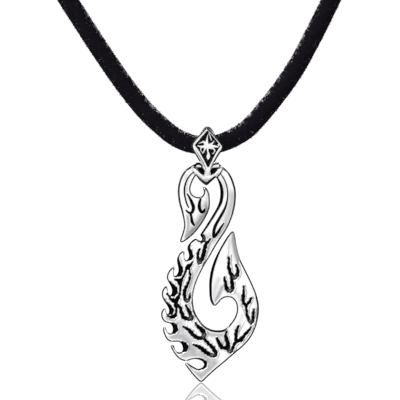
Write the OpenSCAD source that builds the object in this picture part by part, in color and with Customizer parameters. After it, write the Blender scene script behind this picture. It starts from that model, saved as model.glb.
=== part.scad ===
// Cast fish hook pendant on a leather cord, in millimetres.
// The necklace hangs in the XZ plane with its face towards -Y and +Z up. The origin is the
// middle of the clasp, where the loop lies on the nape of the neck.

/* [Cord] */
// Diameter of the leather cord
cord_d = 3.7; // [3.5:0.1:3.9]
// Sides of the cord's round section
cord_sides = 8; // [8:1:10]

/* [Clasp] */
// Length of the barrel
clasp_len = 20; // [18:0.5:21]
// Outer diameter of the barrel
clasp_d = 6.4; // [6:0.1:7]
// Depth of the socket that holds each end of the cord
socket_depth = 7; // [6.5:0.1:7.5]
// Gap round the cord in its socket
socket_gap = 0.1; // [0.08:0.01:0.15]

/* [Bail] */
// Depth of the loop, front to back, where it goes round the cord
bail_depth = 7; // [6.8:0.1:7.2]
// Inner diameter of the loop round the cord
bail_bore = 4.8; // [4.7:0.05:4.9]
// Width of the band behind the kite
band_w = 3.2; // [3:0.1:3.3]
// Thickness of the kite-shaped plate
plate_t = 0.9; // [0.8:0.05:1]
// How far the kite leans forward at its top, in degrees
plate_lean = 8; // [7:0.5:9]
// Depth of the blackened field in the kite
field_depth = 0.35; // [0.25:0.05:0.45]

/* [Hook] */
// Thickness of the cast hook
hook_t = 2.8; // [2.6:0.1:3]
// Depth of the blackened grooves in its face
groove_depth = 0.7; // [0.5:0.05:0.9]
// Diameter of the bar that the bail swings on
bar_d = 1.3; // [1.2:0.05:1.4]
// Gap between the bar and the bail's lower bend
bar_gap = 0.3; // [0.25:0.05:0.35]
// Width of the gap above the bar that the bail comes through
gap_w = 3.8; // [3.6:0.1:4]
// Width of the slot behind the bar for the bail's lower bend
slot_w = 1.9; // [1.8:0.1:2]
// Depth of the blackened pocket under the bar
pocket_depth = 1.5; // [1.3:0.1:1.6]
// Width of the rounding along the hook's front edge
edge_round = 0.65; // [0.5:0.05:0.8]

/* [Hidden] */

cord_r = cord_d/2;
bore_r = bail_bore/2;
bar_r = bar_d/2;

// Height of the cord's lowest point, which is the bail's own origin
low_z = -170;
// Where the cord's loop and the hook's bar lie in the bail
bore_z = -0.1;
bail_top_z = 0.3;
bar_z = -4.05;
bend_r = bar_r + bar_gap;
bend_outer_r = 2.0;

// The cord's route in the XZ plane, from the clasp's left socket round to its right one
cord_route = [
    [-3.03, 0], [-8, 0], [-13, -0.35], [-19.5, -2.1], [-26, -5], [-40.5, -14],
    [-53, -27.5], [-61, -44], [-63, -63], [-59.5, -82], [-52, -100], [-43, -116.5],
    [-34.5, -130.5], [-27.9, -140.9], [-19.7, -153.5], [-13.3, -162.1],
    [-8.4, -166.85], [-5.6, -168.8], [-2.8, -169.75], [0, -170], [2.8, -169.45],
    [5.6, -168.25], [8.4, -166.3], [12.3, -161.9], [17.1, -155.4], [21.1, -148.2],
    [24.7, -140.9], [30, -130], [37.5, -115.5], [46.5, -99], [54.5, -81], [59, -62],
    [58, -43.5], [51, -27], [39.5, -14], [26, -5], [19.5, -2.1], [13, -0.35], [8, 0],
    [3.03, 0]
];

// Points from here on are x and z from the cord's lowest point

// The kite-shaped plate of the bail, from its top corner round by the right
kite_edge = [
    [-0.2, 3.65], [0.5, 3.1], [1.4, 2.1], [2.3, 1.1], [2.9, 0.4], [3.15, -0.3],
    [2.85, -1.1], [2.3, -1.9], [1.8, -2.8], [1.35, -3.6], [1.0, -4.3],
    [-1.0, -4.3], [-1.4, -3.6], [-1.8, -2.9], [-2.4, -1.9], [-2.9, -1.1], [-3.2, -0.2],
    [-3.0, 0.5], [-2.4, 1.2], [-1.6, 2.2], [-0.9, 3.1]
];
kite_field = [
    [0, 3.0], [1.3, 1.5], [2.6, -0.1], [1.9, -1.2], [1.1, -2.6], [0.3, -4.05],
    [-0.1, -4.05], [-0.9, -2.6], [-1.7, -1.1], [-2.5, 0], [-1.3, 1.5]
];
// The band behind the kite as seen from the front, its right half from the top down
band_half = [
    [0.5, 3.75], [1.15, 3.3], [1.45, 2.7], [1.6, 2.1], [1.6, -0.6], [1.3, -1.6],
    [0.75, -2.8], [0.62, -3.6], [0.62, -4.6], [0.55, -5.4], [0.5, -6.3]
];
// Arms of the star: direction in degrees, length, and half width at half its length
star_centre = [0.05, -0.1];
star_arms = [
    [92, 2.4, 0.2], [50, 1.9, 0.2], [3, 2.3, 0.26], [-48, 1.9, 0.2],
    [-90, 3.2, 0.28], [-128, 2.1, 0.2], [180, 2.15, 0.24], [152, 1.9, 0.2]
];

// Outline of the hook, clockwise as seen from the front, in named stretches
arch_right = [
    [0, -3.2], [1.6, -3.35], [2.7, -3.95], [3.9, -5], [4.55, -5.8], [5.05, -6.8],
    [5.45, -8], [5.65, -9], [5.7, -10.1], [5.65, -11.1], [5.5, -12.2], [5.1, -13.8],
    [4.5, -15.4], [3.7, -17], [2.7, -18.5], [1.6, -20.2], [0.6, -22]
];
crescent_inside = [
    [-0.4, -23.6], [-1.25, -25.2], [-2, -26.8], [-2.55, -28.4], [-2.85, -30],
    [-2.85, -31.6], [-2.5, -33.2], [-1.7, -34.7], [-0.6, -36], [0.8, -36.75],
    [2.4, -36.95], [3.6, -36.6], [4.7, -35.45], [5.5, -34.2], [5.85, -32.8],
    [5.65, -31.45], [4.9, -30.55], [3.9, -30.35], [2.9, -30.7], [2.2, -31.5]
];
arm = [
    [1.55, -32.05], [0.95, -31.8], [0.5, -30.8], [0.35, -29.3], [0.35, -27.1],
    [0.7, -24.9], [1.4, -22.8], [2.4, -20.8], [3.5, -18.9], [4.4, -17.6], [5, -17.15],
    [5.35, -17.45], [5.6, -18.6], [5.95, -20.5], [6.6, -22.8], [7.6, -24.9]
];
right_edge = [
    [8.6, -26.9], [9.6, -29.2], [10.15, -31.1], [10.3, -32.7], [10.1, -34.6],
    [9.55, -36.6], [8.55, -38.5], [7.2, -40.05], [5.5, -41.5], [3.6, -43.15],
    [1.6, -44.8], [-0.1, -46.35]
];
bottom_tip = [
    [-0.8, -47.05], [-1.25, -47.25], [-1.75, -47.05], [-2.7, -46.1], [-3.7, -44.9],
    [-4.45, -43.85], [-4.5, -43.5], [-4.2, -43.4], [-3.8, -43.55]
];
curl_6 = [
    [-2.9, -44.15], [-2, -44.6], [-1.2, -44.5], [-0.7, -43.9], [-0.9, -43.3],
    [-1.5, -42.9], [-2.5, -42.7], [-3.5, -42.9], [-4.3, -43.1], [-5.2, -42.9],
    [-6, -42.35], [-6.7, -41.5], [-7.2, -40.6], [-7.4, -40], [-7.1, -39.85], [-6.7, -40]
];
curl_5 = [
    [-6.55, -40.55], [-6.2, -41.15], [-5.6, -41.35], [-5.05, -41.1], [-4.95, -40.4],
    [-5.25, -39.65], [-5.8, -39.25], [-6.7, -39.25], [-7.6, -39.15], [-8.25, -38.6],
    [-8.7, -37.7], [-8.9, -36.9], [-8.75, -36.3], [-8.4, -36.3]
];
curl_4 = [
    [-8.2, -36.85], [-7.9, -37.35], [-7.35, -37.55], [-7, -37.2], [-6.95, -36.5],
    [-7.2, -35.85], [-7.6, -35.55], [-8.3, -35.4], [-8.9, -34.95], [-9.25, -34.2],
    [-9.25, -33.4], [-8.95, -32.75], [-8.6, -32.55], [-8.3, -32.75]
];
curl_3 = [
    [-8.25, -33.3], [-8, -33.7], [-7.75, -33.45], [-7.7, -32.9], [-7.9, -32.3],
    [-8.3, -31.65], [-8.75, -30.95], [-9.05, -30.3], [-9.15, -29.6], [-9, -28.9],
    [-8.65, -28.35], [-8.3, -28.1], [-8.05, -28.4]
];
curl_2 = [
    [-7.95, -28.95], [-7.8, -29.55], [-7.5, -29.95], [-7.2, -29.65], [-7.1, -29],
    [-7.25, -28.35], [-7.6, -27.65], [-8, -26.95], [-8.15, -26.3], [-8, -25.6],
    [-7.6, -24.9], [-7.1, -24.4], [-6.7, -24.25]
];
curl_1 = [
    [-6.6, -24.7], [-6.7, -25.4], [-6.65, -26], [-6.25, -25.95], [-5.9, -25.4],
    [-5.8, -24.7], [-5.95, -23.9], [-6.1, -23], [-6, -22.3], [-5.7, -21.7],
    [-5.25, -21.25], [-4.75, -21.05], [-4.6, -21.45]
];
curl_0 = [
    [-4.65, -22.1], [-4.5, -22.75], [-4.15, -22.9], [-3.8, -22.5], [-3.7, -21.9],
    [-3.9, -21.15], [-4.1, -20.5], [-3.85, -19.95], [-3.4, -19.35], [-2.85, -18.85],
    [-2.3, -18.65], [-1.75, -18.95], [-1.3, -19.05], [-1.1, -18.6], [-1.45, -17.9]
];
arch_inside = [
    [-1.2, -17.4], [-0.4, -16.2], [0.6, -14.6], [1.5, -13.1], [2.2, -11.7],
    [2.5, -10.4], [2.55, -9.1], [2.35, -7.9], [2, -6.9], [1.7, -6.45]
];
collar_edge = [
    [1.1, -6.9], [0.5, -7.45], [-0.1, -7.95], [-0.6, -7.8], [-1.3, -7.25],
    [-1.9, -6.6], [-2.3, -6.1]
];
round_notch = [
    [-2.75, -6.75], [-3.15, -7.6], [-3.4, -8.6], [-3.25, -9.45], [-2.7, -10.05],
    [-1.8, -10.3], [-1.05, -10.05], [-0.75, -9.4], [-0.85, -8.8]
];
leaf_edge = [
    [-0.95, -8.4], [-0.55, -8.3], [-0.05, -8.7], [0.35, -9.6], [0.5, -10.9],
    [0.45, -12.3], [0.1, -13.45], [-0.6, -14.8], [-1.5, -16.2], [-2.5, -17.45],
    [-3.7, -18.55], [-4.7, -19.25], [-5.2, -19.4], [-5.5, -19.1], [-5.3, -18.3],
    [-4.9, -17.1], [-4.7, -15.9], [-4.85, -14.7], [-5.2, -13.2]
];
arch_left = [
    [-5.65, -11.7], [-5.9, -10.2], [-5.95, -8.8], [-5.75, -7.5], [-5.25, -6.1],
    [-4.4, -4.9], [-3.5, -4.25], [-2.6, -3.75], [-1.6, -3.35]
];
hook_points = concat(
    arch_right, crescent_inside, arm, right_edge, bottom_tip, curl_6, curl_5, curl_4,
    curl_3, curl_2, curl_1, curl_0, arch_inside, collar_edge, round_notch, leaf_edge,
    arch_left
);
// The blackened pocket under the bar, as seen from the front
pocket_edge = [
    [-2.5, -4.55], [-1.65, -5.5], [-0.85, -6.35], [0, -6.5], [0.85, -6.35],
    [1.7, -5.5], [2.6, -4.55]
];

// Cuts in the hook's face. Each row of a cut is x, z and half its width there
wave_hollows = [
    [[-1.2, -19.35, 0.14], [-1.7, -19.1, 0.14], [-2.3, -18.85, 0.14],
     [-2.85, -19.05, 0.15], [-3.4, -19.6, 0.16], [-3.75, -20.2, 0.18],
     [-3.5, -21.1, 0.3], [-3.3, -21.95, 0.42], [-3.5, -22.6, 0.36], [-4.1, -23, 0.1]],
    [[-5.85, -22.5, 0.14], [-5.8, -23.3, 0.24], [-5.55, -24.2, 0.38],
     [-5.35, -25, 0.46], [-5.65, -25.75, 0.42], [-6.25, -26.2, 0.1]],
    [[-7.7, -27.25, 0.15], [-7.25, -27.8, 0.32], [-6.75, -28.45, 0.5],
     [-6.55, -29.1, 0.6], [-6.75, -29.65, 0.46], [-7.3, -30, 0.12]],
    [[-8.75, -30.7, 0.12], [-8.3, -31.35, 0.2], [-7.75, -32.05, 0.34],
     [-7.3, -32.7, 0.46], [-7.3, -33.25, 0.44], [-7.7, -33.7, 0.1]],
    [[-7.4, -35.55, 0.12], [-6.75, -35.9, 0.4], [-6.45, -36.5, 0.54],
     [-6.55, -37.05, 0.46], [-6.95, -37.4, 0.16]],
    [[-5.6, -39.3, 0.12], [-4.9, -39.55, 0.32], [-4.45, -40.1, 0.56],
     [-4.55, -40.7, 0.5], [-4.9, -41.15, 0.16]],
    [[-2.4, -42.6, 0.1], [-1.4, -42.7, 0.18], [-0.65, -43.2, 0.32],
     [-0.4, -43.75, 0.32], [-0.7, -44.35, 0.26], [-1.5, -44.75, 0.1]],
    [[-1.25, -17.9, 0.14], [-0.85, -18.3, 0.32], [-0.85, -18.9, 0.34],
     [-1.1, -19.35, 0.16]]
];
column_hollow = [
    [[-2.9, -23.3, 0.08], [-3.4, -23.85, 0.24], [-3.9, -24.35, 0.38],
     [-4.25, -24.95, 0.18], [-4.55, -25.7, 0.14], [-5, -26.45, 0.18],
     [-5.45, -27.2, 0.38], [-5.4, -28.1, 0.22], [-5.4, -29.1, 0.14],
     [-5.6, -30, 0.18], [-6.05, -30.7, 0.38], [-6.35, -31.5, 0.34],
     [-6.25, -32.4, 0.18], [-6.25, -33.3, 0.16], [-6.5, -34.05, 0.34],
     [-7.2, -34.25, 0.26], [-8, -34, 0.08]],
    [[-6.55, -26.8, 0.08], [-5.9, -27, 0.3], [-5.45, -27.2, 0.38]],
    [[-8.05, -29.6, 0.06], [-7.7, -30.1, 0.1], [-7.25, -30.7, 0.2],
     [-6.7, -31, 0.44], [-6.3, -31.1, 0.44]]
];
flames = [
    [[0.6, -18.75, 0.1], [-0.2, -19.6, 0.26], [-0.55, -20.7, 0.3],
     [-0.8, -21.9, 0.3], [-1.2, -22.9, 0.32], [-1.65, -23.55, 0.26],
     [-1.85, -22.5, 0.22], [-1.9, -21.5, 0.2], [-1.55, -20.75, 0.12]],
    [[-3.55, -24.95, 0.1], [-3.45, -25.8, 0.22], [-3.65, -26.9, 0.22],
     [-4.1, -28, 0.26], [-4.55, -29.1, 0.28], [-4.55, -30.2, 0.3],
     [-4.05, -31.1, 0.34], [-3.55, -30.5, 0.22], [-3.45, -29.75, 0.14]],
    [[-6.05, -31.65, 0.1], [-5.45, -32.4, 0.26], [-5.15, -33.4, 0.3],
     [-4.75, -34.3, 0.36], [-3.9, -34.65, 0.36], [-3.15, -34.5, 0.34],
     [-3.6, -33.3, 0.3], [-4.15, -32.25, 0.16], [-4.35, -31.9, 0.06]],
    [[-4.85, -36.15, 0.08], [-4.1, -36.6, 0.24], [-3.3, -37.3, 0.32],
     [-2.5, -38.15, 0.34], [-1.6, -38.55, 0.32], [-0.85, -38.25, 0.4],
     [-0.7, -37.4, 0.38], [-1.4, -36.6, 0.36], [-2.1, -35.9, 0.2],
     [-2.35, -35.5, 0.1]],
    [[-2.8, -39.8, 0.08], [-1.9, -40.15, 0.28], [-0.9, -40.8, 0.34],
     [0.1, -41.55, 0.38], [1.1, -42, 0.38], [1.65, -41.7, 0.34],
     [1.4, -40.85, 0.34], [0.6, -39.95, 0.26], [-0.3, -39.05, 0.24],
     [-0.75, -38.6, 0.2]],
    [[1.9, -38.6, 0.2], [2.35, -39.4, 0.28], [2.8, -40.25, 0.34],
     [3.5, -40.45, 0.26], [4.15, -40.7, 0.32], [4.55, -41.25, 0.3],
     [5.05, -40.55, 0.26], [5.4, -39.7, 0.22], [5.9, -39.15, 0.28],
     [6.65, -38.85, 0.34], [7.3, -38.05, 0.26], [8.1, -37.1, 0.2],
     [8.75, -36.35, 0.1]],
    [[4.15, -40.4, 0.32], [4.05, -39.4, 0.34], [3.75, -38.5, 0.28],
     [3.65, -37.8, 0.2], [3.85, -37.15, 0.1]],
    [[5.8, -39.2, 0.28], [5.7, -38.2, 0.28], [5.8, -37.1, 0.24], [6.2, -36, 0.12]],
    [[7.15, -28.2, 0.12], [7.3, -29.2, 0.22], [7.15, -30.3, 0.3],
     [7.15, -31.2, 0.28], [7.7, -31.85, 0.3], [8.3, -31.45, 0.26],
     [8.5, -30.8, 0.22], [8.75, -30.45, 0.16]],
    [[7.7, -31.85, 0.3], [7.85, -32.7, 0.18], [7.85, -33.6, 0.2],
     [8.15, -34.5, 0.3], [8.7, -35.35, 0.3], [9.1, -34.8, 0.34],
     [9.1, -33.9, 0.24], [9.3, -32.8, 0.16]],
    [[4.3, -22.2, 0.12], [4.25, -23.3, 0.18], [4.3, -24.5, 0.26],
     [4.65, -25.6, 0.3], [5.2, -26.4, 0.38], [5.85, -26.05, 0.38],
     [6.1, -25.1, 0.26], [5.75, -23.85, 0.12]],
    [[4.85, -26.5, 0.3], [4.95, -27.7, 0.3], [4.95, -28.8, 0.36],
     [4.3, -29.05, 0.38], [3.75, -28.3, 0.3], [3.55, -27.2, 0.2],
     [3.4, -26.4, 0.12]]
];
arch_lines = [
    [[-2.8, -5.35, 0.08], [-3.6, -6.1, 0.1], [-4.2, -7.1, 0.12],
     [-4.55, -8.3, 0.14], [-4.6, -9.5, 0.14], [-4.45, -10.5, 0.12],
     [-4.1, -11.7, 0.12], [-3.75, -12.4, 0.08]],
    [[2.5, -5.5, 0.08], [3.1, -6.4, 0.12], [3.65, -7.5, 0.14],
     [3.95, -8.7, 0.15], [4.05, -9.9, 0.16], [3.9, -11.1, 0.17],
     [3.55, -12.4, 0.2], [2.9, -13.7, 0.24], [2.2, -14.9, 0.26],
     [1.55, -16.1, 0.28], [1.25, -17.3, 0.28], [1.25, -18.3, 0.24],
     [1.9, -17.65, 0.26], [2.5, -16.7, 0.22], [3.25, -15.55, 0.1]],
    [[1.85, -6.5, 0.12], [2.4, -7.5, 0.18], [2.7, -8.7, 0.22], [2.75, -10, 0.22],
     [2.5, -11.3, 0.2], [1.9, -12.6, 0.2], [1, -14.1, 0.18], [0, -15.7, 0.16],
     [-0.9, -17.1, 0.14], [-1.3, -17.8, 0.12]]
];
leaf_lines = [
    [[-4.05, -9.7, 0.1], [-3.5, -10.6, 0.18], [-3.05, -11.6, 0.28],
     [-2.8, -12.4, 0.28], [-3, -13.2, 0.26], [-3.35, -13.65, 0.2],
     [-3.2, -14.4, 0.18], [-3.1, -15.2, 0.24], [-2.65, -15.95, 0.16]],
    [[-3.35, -13.6, 0.2], [-3.85, -13.35, 0.18], [-4.3, -12.95, 0.1]],
    [[-1.35, -10.65, 0.14], [-1.6, -11.5, 0.24], [-1.6, -12.5, 0.28],
     [-1.25, -13.25, 0.24], [-0.75, -13.2, 0.26], [-0.55, -12.75, 0.14]]
];

// Steps between two neighbouring points of an outline or of the cord's route
outline_steps = 2;
route_steps = 2;
// Sides of the round ends of a cut
cut_sides = 10;
// The hook's edge from its back to its front: width of the rounding, then height
edge_rows = [
    [0.2, -hook_t/2], [0, 0.2 - hook_t/2], [0, hook_t/2 - edge_round],
    [edge_round*0.13, hook_t/2 - edge_round*0.5],
    [edge_round*0.5, hook_t/2 - edge_round*0.13], [edge_round, hook_t/2]
];
// Share of a narrow limb's half width that the rounding may take
edge_share = 0.7;
// Overlap of a cutting shape with the air in front of what it cuts
clear = 1;

// Point between b and c on the smooth line through a, b, c and d
function spline_at(a, b, c, d, t) =
    b + t/2*(c - a + t*(2*a - 5*b + 4*c - d + t*(3*(b - c) + d - a)));

// Smooth closed line through all points of a list
function smooth_loop(p, steps) =
    let (n = len(p))
    [for (i = [0 : n - 1], s = [0 : steps - 1])
        spline_at(p[(i + n - 1) % n], p[i], p[(i + 1) % n], p[(i + 2) % n], s/steps)];

// Smooth open line through all points of a list
function smooth_line(p, steps) =
    let (n = len(p))
    [for (i = [0 : n - 2], s = [0 : steps - 1])
        spline_at(p[max(i - 1, 0)], p[i], p[i + 1], p[min(i + 2, n - 1)], s/steps),
     p[n - 1]];

// Unit direction that points into a clockwise outline at its point i
function inward(p, i) =
    let (n = len(p), d = p[(i + 1) % n] - p[(i + n - 1) % n])
    [d[1], -d[0]]/norm(d);

// Radius of the largest round that fits inside the outline and touches it at point i
function fit_radius(p, i, into) =
    min([for (q = p) let (d = q - p[i], ahead = d*into) if (ahead > 0.001) d*d/(2*ahead)]);

// Two rounds in the YZ plane and all that lies between their common tangents
module belt(z1, r1, z2, r2) {
    hull() {
        translate([0, z1]) circle(r1, $fn = 72);
        translate([0, z2]) circle(r2, $fn = 48);
    }
}

// Stands a drawing up in the XZ plane, its thickness growing towards the front
module upright() { rotate([90, 0, 0]) children(); }

// Solid of an outline with a rounded edge, through rows of edge width and height
module rounded_slab(outline, rows) {
    n = len(outline);
    into = [for (i = [0 : n - 1]) inward(outline, i)];
    most = [for (i = [0 : n - 1]) edge_share*fit_radius(outline, i, into[i])];
    points = [
        for (row = rows, i = [0 : n - 1])
            let (q = outline[i] + into[i]*min(row[0], most[i])) [q[0], q[1], row[1]]
    ];
    last = (len(rows) - 1)*n;
    sides = [
        for (k = [0 : len(rows) - 2], i = [0 : n - 1])
            let (a = k*n + i, b = k*n + (i + 1) % n) each [[a, b, b + n], [a, b + n, a + n]]
    ];
    polyhedron(
        points,
        concat(sides, [[for (i = [0 : n - 1]) last + i], [for (i = [n - 1 : -1 : 0]) i]])
    );
}

// Flat shape of one cut, a chain of round-ended pieces
module cut_shape(rows) {
    for (i = [0 : len(rows) - 2])
        hull() {
            for (row = [rows[i], rows[i + 1]])
                translate([row[0], row[1]]) circle(row[2], $fn = cut_sides);
        }
}

module cord() {
    line = smooth_line(cord_route, route_steps);
    n = len(line);
    rings = [
        for (i = [0 : n - 1])
            let (d = line[min(i + 1, n - 1)] - line[max(i - 1, 0)], side = [-d[1], d[0]]/norm(d))
            for (k = [0 : cord_sides - 1])
                let (turn = 360*k/cord_sides, out = line[i] + side*cord_r*cos(turn))
                [out[0], cord_r*sin(turn), out[1]]
    ];
    walls = [
        for (i = [0 : n - 2], k = [0 : cord_sides - 1])
            let (a = i*cord_sides + k, b = i*cord_sides + (k + 1) % cord_sides)
            each [[a, b + cord_sides, a + cord_sides], [a, b, b + cord_sides]]
    ];
    ends = [
        [for (k = [cord_sides - 1 : -1 : 0]) k],
        [for (k = [0 : cord_sides - 1]) (n - 1)*cord_sides + k]
    ];
    color([0.05, 0.045, 0.06]) polyhedron(rings, concat(walls, ends));
}

module clasp() {
    chamfer = 0.6;
    color("silver") rotate([0, 90, 0]) difference() {
        union() {
            cylinder(h = clasp_len - 2*chamfer, d = clasp_d, center = true, $fn = 64);
            for (side = [0, 180])
                rotate([side, 0, 0]) translate([0, 0, clasp_len/2 - chamfer])
                    cylinder(h = chamfer, d1 = clasp_d, d2 = clasp_d - 2*chamfer, $fn = 64);
        }
        for (side = [0, 180])
            rotate([side, 0, 0]) translate([0, 0, clasp_len/2 - socket_depth])
                cylinder(h = socket_depth + clear, r = cord_r + socket_gap, $fn = 64);
    }
}

// Band that goes round the cord above and through the hook's eye below
module band() {
    outline = concat(
        [for (p = band_half) p],
        [for (i = [len(band_half) - 1 : -1 : 0]) [-band_half[i][0], band_half[i][1]]]
    );
    intersection() {
        rotate([90, 0, 90]) linear_extrude(band_w + 2*clear, center = true) difference() {
            belt(bail_top_z, bail_depth/2, bar_z, bend_outer_r);
            belt(bore_z, bore_r, bar_z, bend_r);
        }
        upright() linear_extrude(bail_depth + 2*clear, center = true) polygon(outline);
    }
}

// Eight-armed star, each arm a slim leaf from the centre
module star(height) {
    translate(star_centre) {
        cylinder(h = height, r = 0.72, $fn = 32);
        for (arm = star_arms)
            rotate(arm[0]) linear_extrude(height)
                polygon([[0, arm[2]*1.4], [arm[1]/2, arm[2]], [arm[1], 0.05],
                         [arm[1], -0.05], [arm[1]/2, -arm[2]], [0, -arm[2]*1.4]]);
    }
}

// Brings a drawing of the kite to its place: face forward, leaning out at its top
module on_kite(depth) {
    translate([0, -bail_depth/2, bail_top_z]) rotate([-plate_lean, 0, 0])
        translate([0, 0, -bail_top_z]) upright() translate([0, 0, -depth]) children();
}

// Band and kite plate in one, with the plate's field sunk and the star raised in it
module bail() {
    color("silver") translate([0, 0, low_z]) union() {
        difference() {
            union() {
                band();
                on_kite(plate_t) linear_extrude(plate_t) polygon(kite_edge);
            }
            on_kite(field_depth) linear_extrude(field_depth + clear) polygon(kite_field);
        }
        on_kite(field_depth + 0.1) star(field_depth + 0.1);
    }
}

// The hook's face before any groove is cut: above, its bar stands clear in a gap for the
// bail, and below the bar a pocket leaves a back wall with a slot for the bail's bend
module hook_blank() {
    upright() difference() {
        rounded_slab(smooth_loop(hook_points, outline_steps), edge_rows);
        translate([0, 0, hook_t/2 - pocket_depth])
            linear_extrude(pocket_depth + clear) polygon(pocket_edge);
        translate([-gap_w/2, -4.9, -hook_t]) cube([gap_w, 2, 2*hook_t]);
        translate([-slot_w/2, -6.45, -hook_t]) cube([slot_w, 3, 2*hook_t]);
    }
}

module hook() {
    color("silver") translate([0, 0, low_z]) {
        difference() {
            hook_blank();
            upright() translate([0, 0, hook_t/2 - groove_depth]) {
                linear_extrude(groove_depth + clear) {
                    for (cut = concat(wave_hollows, column_hollow, flames)) cut_shape(cut);
                }
                translate([0, 0, groove_depth/2]) linear_extrude(groove_depth/2 + clear) {
                    for (cut = concat(arch_lines, leaf_lines)) cut_shape(cut);
                }
            }
        }
        translate([0, 0, bar_z]) rotate([0, 90, 0])
            cylinder(h = 4.4, r = bar_r, center = true, $fn = 24);
    }
}

cord();
clasp();
bail();
hook();
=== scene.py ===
# %% [markdown]
# # A cast fish hook on a leather cord
#
# The necklace is one loop of round black leather, closed behind the neck by a small steel
# barrel. A kite-shaped bail runs on the cord and holds a flat cast hook, polished all over,
# with blackened grooves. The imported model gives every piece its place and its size. This
# script dresses it: each piece is made again with the detail that a casting or a cord has,
# in exactly the same place. Lengths in the tables are millimetres.

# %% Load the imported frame
import math

import bmesh
import bpy
import numpy as np
from mathutils import Matrix, Vector, geometry, kdtree


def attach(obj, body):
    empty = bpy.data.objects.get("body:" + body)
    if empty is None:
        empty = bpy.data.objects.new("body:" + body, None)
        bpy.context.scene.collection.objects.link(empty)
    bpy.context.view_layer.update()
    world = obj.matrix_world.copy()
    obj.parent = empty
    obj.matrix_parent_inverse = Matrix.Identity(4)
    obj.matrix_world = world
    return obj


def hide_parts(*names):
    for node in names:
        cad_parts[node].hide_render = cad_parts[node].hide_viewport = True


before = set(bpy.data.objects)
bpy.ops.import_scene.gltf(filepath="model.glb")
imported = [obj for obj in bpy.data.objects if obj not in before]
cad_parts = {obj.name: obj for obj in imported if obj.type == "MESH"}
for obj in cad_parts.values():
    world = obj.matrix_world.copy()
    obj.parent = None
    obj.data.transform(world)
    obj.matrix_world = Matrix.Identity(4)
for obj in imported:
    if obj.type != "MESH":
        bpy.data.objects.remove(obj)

scene = bpy.context.scene
MM = 0.001
LOW_Z = -170.0  # the cord's lowest point, where the pendant hangs

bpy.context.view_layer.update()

# %% [markdown]
# ## The camera
# The photograph looks straight at the pendant from so far away that near and far parts keep
# the same scale, as a shop picture does. A short lens close by would show the sides of the
# bail. A long lens, one metre away, gives the flat look and 80 mm across the picture.

# %% Helper that puts an object in the scene


def linked(name, data):
    """A new object with this data, in the scene at the origin."""
    obj = bpy.data.objects.new(name, data)
    scene.collection.objects.link(obj)
    return obj


# %% Camera
PICTURE_WIDTH = 80 * MM
PICTURE_X, PICTURE_Z = -1.5 * MM, (LOW_Z - 10.9) * MM  # middle of the picture
CAMERA_DISTANCE = 1.0
SENSOR = 36

camera_data = bpy.data.cameras.new("Camera")
camera_data.sensor_width = SENSOR
camera_data.lens = SENSOR * CAMERA_DISTANCE / PICTURE_WIDTH
camera_data.clip_start = 0.05
camera_data.clip_end = 50
camera = linked("Camera", camera_data)
camera.location = (PICTURE_X, -CAMERA_DISTANCE, PICTURE_Z)
camera.rotation_euler = (math.radians(90), 0, 0)
scene.camera = camera
print("lens", round(camera_data.lens), "mm")

# %% [markdown]
# ## The cord
# Round leather cord is limp: it hangs in a soft V from two sides of the neck, with the
# pendant's weight at the bottom. It is a length of tube along a line, so a curve object with
# a round bevel is the natural way. Each point's handles are a sixth of the way between its
# neighbours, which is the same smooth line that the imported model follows.

# %% Route of the cord, from the clasp's left end round to its right end
CORD_D = 3.7
CORD_ROUTE = [
    (-3.03, 0), (-8, 0), (-13, -0.35), (-19.5, -2.1), (-26, -5), (-40.5, -14),
    (-53, -27.5), (-61, -44), (-63, -63), (-59.5, -82), (-52, -100), (-43, -116.5),
    (-34.5, -130.5), (-27.9, -140.9), (-19.7, -153.5), (-13.3, -162.1),
    (-8.4, -166.85), (-5.6, -168.8), (-2.8, -169.75), (0, -170), (2.8, -169.45),
    (5.6, -168.25), (8.4, -166.3), (12.3, -161.9), (17.1, -155.4), (21.1, -148.2),
    (24.7, -140.9), (30, -130), (37.5, -115.5), (46.5, -99), (54.5, -81), (59, -62),
    (58, -43.5), (51, -27), (39.5, -14), (26, -5), (19.5, -2.1), (13, -0.35), (8, 0),
    (3.03, 0),
]


def between(a, b, c, d, t):
    """Point of the smooth line through a, b, c and d, a share t of the way from b to c."""
    return b + t / 2 * (c - a + t * (2 * a - 5 * b + 4 * c - d + t * (3 * (b - c) + d - a)))


def smooth_open(rows, steps):
    """Smooth open line through rows of numbers, with so many steps between two rows."""
    p = np.array(rows, float)
    last = len(p) - 1
    line = [
        between(p[max(i - 1, 0)], p[i], p[i + 1], p[min(i + 2, last)], s / steps)
        for i in range(last)
        for s in range(steps)
    ]
    return np.array(line + [p[last]])


cord_line = smooth_open(CORD_ROUTE, 12)

# %% The cord as a curve
cord_data = bpy.data.curves.new("cord_leather", "CURVE")
cord_data.dimensions = "3D"
cord_data.bevel_depth = CORD_D / 2 * MM
cord_data.bevel_resolution = 10
cord_data.resolution_u = 14
cord_data.use_fill_caps = True
spline = cord_data.splines.new("BEZIER")
spline.bezier_points.add(len(CORD_ROUTE) - 1)
for i, point in enumerate(spline.bezier_points):
    here = Vector((CORD_ROUTE[i][0], 0, CORD_ROUTE[i][1]))
    before = CORD_ROUTE[max(i - 1, 0)]
    after = CORD_ROUTE[min(i + 1, len(CORD_ROUTE) - 1)]
    lean = Vector((after[0] - before[0], 0, after[1] - before[1])) / 6
    point.handle_left_type = point.handle_right_type = "FREE"
    point.co = here * MM
    point.handle_left = (here - lean) * MM
    point.handle_right = (here + lean) * MM
cord = linked("cord_leather", cord_data)
print("cord points", len(spline.bezier_points))
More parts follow.
